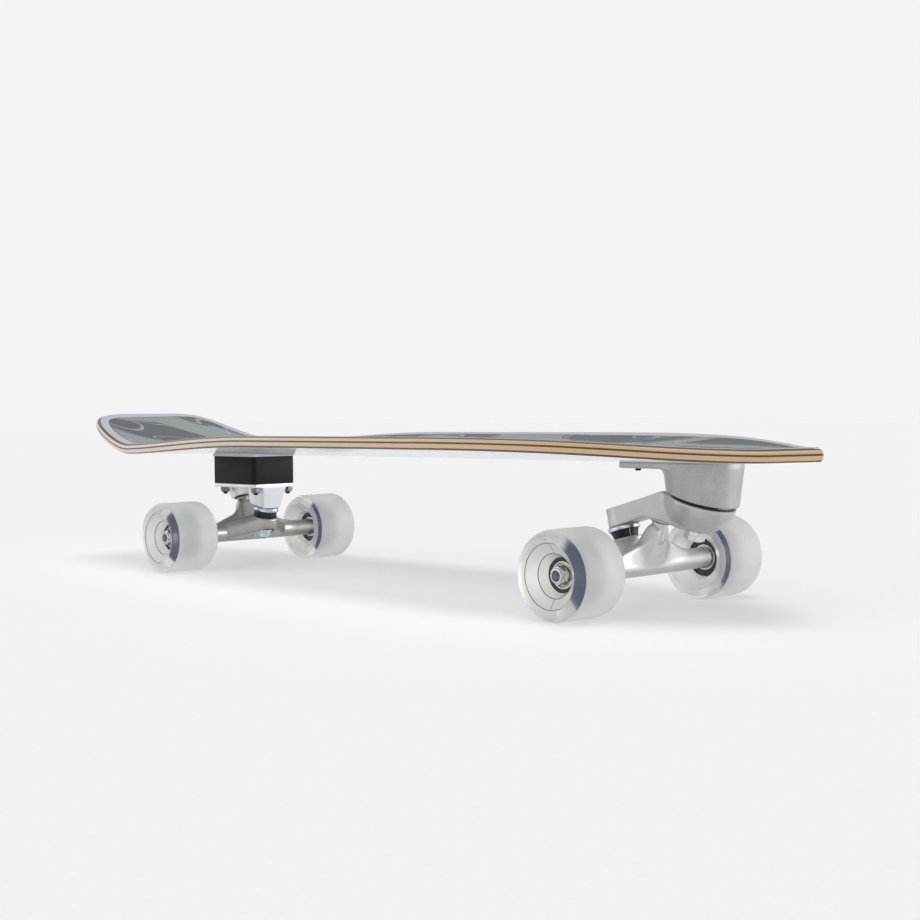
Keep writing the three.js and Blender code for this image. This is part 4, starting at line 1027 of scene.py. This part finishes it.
# Front base and swing arm
def make_front_base():
    plate_low, bottom = TRUCK_HEIGHT - BASE.plate, TRUCK_HEIGHT - CAN.drop
    outline = rounded_box(BASE.start, CAN.x, BASE.width / 2, BASE.corner)
    base = prism(outline, plate_low, TRUCK_HEIGHT, FRONT)
    can_at = FRONT @ Matrix.Translation((CAN.x, 0, 0))
    can = [(0, bottom), (CAN.bottom, bottom), (CAN.top, plate_low), (CAN.top, TRUCK_HEIGHT),
           (0, TRUCK_HEIGHT)]
    radius = BASE.fillet
    fillet = [(CAN.top - 0.6 + radius * (1 - sin(a)), plate_low - radius * (1 - cos(a)))
              for a in np.linspace(pi / 2, 0, 7)]
    skirt = revolve([(0, plate_low - radius), *fillet, (CAN.top + radius, TRUCK_HEIGHT - 1),
                     (0, TRUCK_HEIGHT - 1)], 96, can_at)
    common(skirt, prism(outline, bottom, TRUCK_HEIGHT, FRONT))
    cast_form(joined(base, revolve(can, 96, can_at), skirt), 0.8, 6)
    place, depth = FRONT @ SWING_FRAME, BASE.spring_depth
    for hole, low, high in ((TRUCK_HEIGHT, -TRUCK_HEIGHT, 0), (BASE.spring_bore, -OVER, depth),
                            (BASE.sleeve, depth - OVER, depth + BASE.web + OVER),
                            (BASE.nut_bore, depth + BASE.web, TRUCK_HEIGHT)):
        cut(base, bar(hole, low, high, 72, place))
    for x, low in ((BASE.bolt_x, plate_low - OVER),
                   (BASE.bolt_x + BOLT.space_x, TRUCK_HEIGHT - BASE.blind)):
        for y in BOLT_Y:
            cut(base, bar(BOLT.hole, low, TRUCK_HEIGHT + OVER, 24, FRONT @ Matrix.Translation((x, y, 0))))
    stand_in(base, "front_base", "cast_light", LOOK.cast_light)


def make_swing_parts():
    """What sits on the raked post: sleeve, thrust bearing, seal, post, nut and spring."""
    place = FRONT @ SWING_FRAME
    web_low, web_high = BASE.spring_depth + GAP, BASE.spring_depth + BASE.web
    sleeve = ring(SWING.post + RUNNING_GAP, BASE.sleeve - GAP, web_low, web_high - GAP, 0.3)
    stand_in(revolve(sleeve, 48, place), "swing_sleeve", "steel", LOOK.brass)
    thrust = ring(THRUST.inner, THRUST.outer, ARM_TOP + GAP, -GAP, 0.5)
    stand_in(revolve(thrust, 64, place), "thrust_bearing", "bearing", LOOK.brass)
    make_seal(place)
    head_top, nut_low = ARM_LOW - GAP, web_high + GAP
    head_low, top = head_top - SWING.head_height, nut_low + POST_NUT.height
    thread, radius = POST_NUT.thread, SWING.post
    post = hexagon_nut(SWING.head, head_low, head_top, place, 1.0)
    shank = [(0, head_top - OVER), (radius, head_top - OVER), (radius, nut_low - GAP),
             (thread, nut_low - GAP), (thread, top - 0.6), (thread - 0.6, top), (0, top)]
    joined(post, revolve(shank, 48, place))
    cut(post, bar(radius - 1, head_low - OVER, head_top - SWING.socket_roof, HEXAGON, place))
    stand_in(post, "swing_post", "steel", LOOK.steel)
    nut = hexagon_nut(POST_NUT.corner, nut_low, top - GAP, place, 0.9)
    cut(nut, bar(thread + GAP, nut_low - OVER, top + OVER, 40, place))
    stand_in(nut, "swing_post_nut", "zinc", LOOK.zinc)
    make_spring(place)


def make_seal(place):
    """A grooved ring whose groove is coloured brass on one side only, as a painted highlight."""
    middle, inner, outer = ARM_TOP / 2, SEAL.inner, SEAL.outer
    groove = outer - SEAL.groove
    profile = loop([(inner, ARM_TOP + GAP), (outer, ARM_TOP + GAP), (outer, middle - SEAL.mouth),
                    (groove, middle - SEAL.floor), (groove, middle + SEAL.floor),
                    (outer, middle + SEAL.mouth), (outer, -GAP), (inner, -GAP)], 0.1, 2)
    seal = revolve(profile, 96, place)
    middle_at = place @ Vector((0, 0, middle))
    for polygon in seal.data.polygons:
        spot = polygon.center / MM - middle_at
        in_groove = inner + 0.4 < spot.length < outer - 0.2 and abs(polygon.normal.z) < 0.6
        # Brass on this side of the groove only: a painted highlight where the groove catches the light
        if in_groove and spot.x + spot.y > inner * 0.45:
            polygon.material_index = 1
    stand_in(seal, "swing_seal", "rubber", LOOK.rubber, LOOK.brass)


def make_spring(place):
    """A flat-ended coil of square wire between the arm and the can."""
    wire, steps = SPRING.half_wire, SPRING.steps
    low, high = GAP + wire, BASE.spring_depth - GAP - wire
    section = rounded([(-wire, -wire), (wire, -wire), (wire, wire), (-wire, wire)], 0.5, True, 2)
    rings = []
    for k in range(steps + 1):
        a = 2 * pi * SPRING.turns * k / steps
        z = low + (high - low) * k / steps
        rings.append([((SPRING.mean + u) * cos(a), (SPRING.mean + u) * sin(a), z + v)
                      for u, v in section])
    stand_in(lofted(rings, place), "swing_spring", "steel", LOOK.steel)


def arm_side():
    """The arm seen from the side, from its tail along the underside and back over the top."""
    under = [(x, seat_height(FRONT_SEAT, x)) for x in (BEAM.tail[0], BEAM.arch_x)] + [BEAM.crown, BEAM.foot]
    under += [(x, swing_height(x, ARM_LOW)) for x in (BEAM.low_x, BEAM.keel_x)] + [(CAN.x, BEAM.keel_z)]
    over = [(CAN.x, BEAM.inner_z), BEAM.top, BEAM.knee, BEAM.tail]
    return rounded([*under, *over], [0, 24, 14, 40, 30, 0, 0, 0, 3, 30, 0], True, 6)


def make_swing_arm():
    half, top, root = BEAM.half, BEAM.boss_top, BEAM.top[0]
    beam = side_prism(arm_side(), half, FRONT)
    plan = prism([(CAN.x, -half), (CAN.x, half), (root, half), (FRONT_SEAT.x, top),
                  (FRONT_SEAT.x, -top), (root, -half)], 0, TRUCK_HEIGHT, FRONT)
    at = FRONT @ kingpin_frame(FRONT_SEAT)
    boss = [(0, -OVER), (BEAM.boss, -OVER), (top, BEAM.tail[1] - FRONT_SEAT.z),
            (top, TRUCK_HEIGHT), (0, TRUCK_HEIGHT)]
    common(beam, joined(plan, revolve(boss, 64, at)))
    place, radius = FRONT @ SWING_FRAME, BOWL.radius
    shares = ((1, 0.11), (0.9, 0.42), (0.66, 0.8), (0.39, 1), (0, 1))
    bowl = rounded([(0, ARM_TOP + OVER), (radius, ARM_TOP + OVER),
                    *[(a * radius, ARM_TOP - b * BOWL.depth) for a, b in shares]],
                   [0, 0, 6, 16, 14, 5, 0], steps=6)
    flare = [(x, side * half, z or swing_height(x, ARM_TOP)) for x, z in BEAM_FLARE for side in (-1, 1)]
    for r, height in [(radius, ARM_TOP), *bowl[1:]]:
        if height <= ARM_TOP:
            flare += circle_points(r - 0.2, height, SWING_FRAME)
    joined(beam, revolve(bowl, 96, place), wrapped(flare, FRONT),
           revolve(rod(ARM_PIVOT.radius, 0, ARM_PIVOT.height), 64, FRONT @ PIVOT_FRAME))
    cast_form(beam, 0.6, 9)
    cut(beam, bar(radius + OVER, ARM_TOP, ARM_TOP + OVER * 3, 96, place),
        bar(SWING.post + GAP, ARM_LOW - OVER, ARM_TOP + OVER, 48, place),
        *head_pocket(at, FRONT_HEAD_TOP, TRUCK_HEIGHT), cup_recess(FRONT))
    # The arm takes the lighter copy of the cast aluminium: painted light on the bowl and beam
    stand_in(beam, "swing_arm", "cast_light", LOOK.cast_arm)


def head_pocket(at, head_top, high):
    """The kingpin's hole and the pocket for its head."""
    return (bar(KINGPIN.hole, -OVER, high, 48, at),
            bar(KINGPIN.corner + KINGPIN.room, head_top - KINGPIN.head - GAP, high, 48, at))


# Rear riser and baseplate
def rear_holes(low, high):
    return [bar(BOLT.hole, low, high, 24, REAR_TRUCK @ Matrix.Translation((x, y, 0)))
            for x in (REAR.bolt_x - BOLT.space_x, REAR.bolt_x) for y in BOLT_Y]


def rear_outline(margin=0):
    return rounded_box(REAR.inner - margin, REAR.outer + margin, REAR.width / 2 + margin, REAR.corner)


def make_riser(node, low, high, margin, edge, look, slot):
    made = cut(prism(rear_outline(margin), low, high, REAR_TRUCK), *rear_holes(low - OVER, high + OVER))
    stand_in(bevelled(made, edge), node, slot, look)


def make_rear_base():
    """A plate with a tapered boss for the kingpin, a socket for the pivot and a rib between them."""
    boss, height, half = REAR_BOSS, REAR.height, REAR.width / 2
    plate_low, top = height - REAR.plate, height - REAR.plate / 2
    low = seat_height(REAR_SEAT, boss.inner)
    base = prism(rear_outline(), plate_low, height, REAR_TRUCK)
    block = side_prism([(boss.inner, low), (boss.outer, seat_height(REAR_SEAT, boss.outer)),
                        (boss.outer, top), (REAR.inner, top), (REAR.inner, plate_low)], half, REAR_TRUCK)
    common(block, prism([(-boss.half, low), (boss.half, low), (boss.flare, top), (-boss.flare, top)],
                        REAR.inner, REAR.outer, REAR_TRUCK, FRONTWAYS))
    socket = revolve([(0, 0), (boss.socket, 0), (boss.socket_wide, PIVOT.tip_depth),
                      (boss.socket_wide, height), (0, height)], 64, REAR_TRUCK @ PIVOT_FRAME)
    common(socket, prism(rear_outline(), 0, height, REAR_TRUCK))
    rib_x = boss.outer - GAP
    rib = side_prism([(rib_x, boss.rib_low), (PIVOT.x, boss.rib_low), (PIVOT.x, top), (rib_x, top)],
                     boss.rib, REAR_TRUCK)
    cast_form(joined(base, block, socket, rib), 0.7, 5)
    at = REAR_TRUCK @ kingpin_frame(REAR_SEAT)
    cut(base, *head_pocket(at, REAR_HEAD_TOP, height), cup_recess(REAR_TRUCK),
        *rear_holes(boss.rib_low, height + OVER))
    stand_in(base, "rear_baseplate", "cast_light", LOOK.cast_bright)


# Studio
FLOOR_DARK = (0.9, 0.9, 0.91)
FLOOR_LIGHT = (0.915, 0.915, 0.925)
FLOOR_HALF = 40000.0
BACKDROP = 0.905
WORLD_LEVEL = 0.22
# Suns: name, level, angle in degrees, direction, whether they cast shadows, whether they show in mirrors
LAMPS = (
    ("soft_top", 0.62, 30, (-0.12, 0.0, -1), True, True),
    ("soft_right", 1.9, 50, (-0.7, -0.72, -0.14), False, True),
    ("soft_left", 0.3, 50, (0.7, 0.72, -0.14), False, True),
    ("soft_low", 0.5, 70, (-0.5, 0.62, 0.6), False, True),
    ("fill_top", 1.21, 80, (0.1, 0.2, -1), False, False),
    ("fill_front", 0.55, 80, (-0.2, 0.9, -0.3), False, False),
)
# The camera fitted to the photograph, in metres and radians
CAMERA = Named(azimuth=0.798, elevation=0.031, roll=radians(-0.576), focal_pixels=1428.545, picture=920,
               sensor=36, spot=(0.995774, -0.898941, 0.155186))


def make_floor():
    half = FLOOR_HALF
    made = new_object([(-half, -half, 0), (half, -half, 0), (half, half, 0), (-half, half, 0)],
                      [(0, 1, 2, 3)], name="floor")
    m = Nodes("floor_paper")
    fibre = m.noise(240, 3, 0.5)
    m.shade(Base_Color=m.ramp(fibre, [(0.3, FLOOR_DARK), (0.7, FLOOR_LIGHT)]), Specular_IOR_Level=0.1,
            Roughness=m.span(fibre, 0.85, 0.95, 0, 1))
    dressed(made, m.material)


def make_world():
    """White light on the pieces, and a backdrop for the camera, for mirrors and through clear parts."""
    world = bpy.context.scene.world = bpy.data.worlds.new("studio")
    world.use_nodes = True
    nodes, links = world.node_tree.nodes, world.node_tree.links
    nodes.clear()
    rays = nodes.new("ShaderNodeLightPath").outputs
    seen = rays["Is Camera Ray"]
    for ray in ("Is Glossy Ray", "Is Transmission Ray"):
        either = nodes.new("ShaderNodeMath")
        either.operation = "MAXIMUM"
        links.new(seen, either.inputs[0])
        links.new(rays[ray], either.inputs[1])
        seen = either.outputs[0]
    mix = nodes.new("ShaderNodeMixShader")
    links.new(seen, mix.inputs[0])
    for socket, grey, strength in ((1, 1, WORLD_LEVEL), (2, BACKDROP, 1)):
        shade = nodes.new("ShaderNodeBackground")
        shade.inputs["Color"].default_value = (grey, grey, grey, 1)
        shade.inputs["Strength"].default_value = strength
        links.new(shade.outputs[0], mix.inputs[socket])
    links.new(mix.outputs[0], nodes.new("ShaderNodeOutputWorld").inputs["Surface"])


def make_lights():
    for name, level, angle, towards, shadow, mirrored in LAMPS:
        sun = bpy.data.lights.new(name, "SUN")
        sun.energy = level
        sun.angle = radians(angle)
        sun.use_shadow = shadow
        lamp = added(name, sun)
        lamp.visible_glossy = mirrored
        lamp.rotation_euler = Vector(towards).to_track_quat("-Z", "Y").to_euler()


def make_camera():
    a, e, roll = CAMERA.azimuth, CAMERA.elevation, CAMERA.roll
    back = Vector((sin(a) * cos(e), -cos(a) * cos(e), sin(e)))
    right = Vector((cos(a), sin(a), 0))
    up = back.cross(right)
    matrix = Matrix((right * cos(roll) + up * sin(roll),
                     up * cos(roll) - right * sin(roll), back)).transposed().to_4x4()
    matrix.translation = CAMERA.spot
    data = bpy.data.cameras.new("camera")
    data.sensor_width = CAMERA.sensor
    data.lens = CAMERA.focal_pixels / CAMERA.picture * data.sensor_width
    data.clip_start = 0.01
    camera = bpy.context.scene.camera = added("camera", data)
    camera.matrix_world = matrix


make_camera()
make_world()
make_lights()
make_floor()
make_deck()
make_grip()
make_bolts()
make_front_base()
make_swing_parts()
make_swing_arm()
make_kingpin_truck("front", FRONT, FRONT_SEAT, FRONT_HEAD_TOP, BUSHING.cone, 1, LOOK.cast_pale, "cast_light")
make_riser("riser_pad", TRUCK_HEIGHT - REAR.pad, TRUCK_HEIGHT, REAR.margin, 0.3, LOOK.pad, "pad")
make_riser("riser_block", REAR.height, TRUCK_HEIGHT - REAR.pad, 0, 0.5, LOOK.riser, "riser")
make_rear_base()
make_kingpin_truck("rear", REAR_TRUCK, REAR_SEAT, REAR_HEAD_TOP, BUSHING.barrel, -1, LOOK.cast_grey,
                   "cast_grey")

bpy.context.scene.view_settings.view_transform = "Standard"
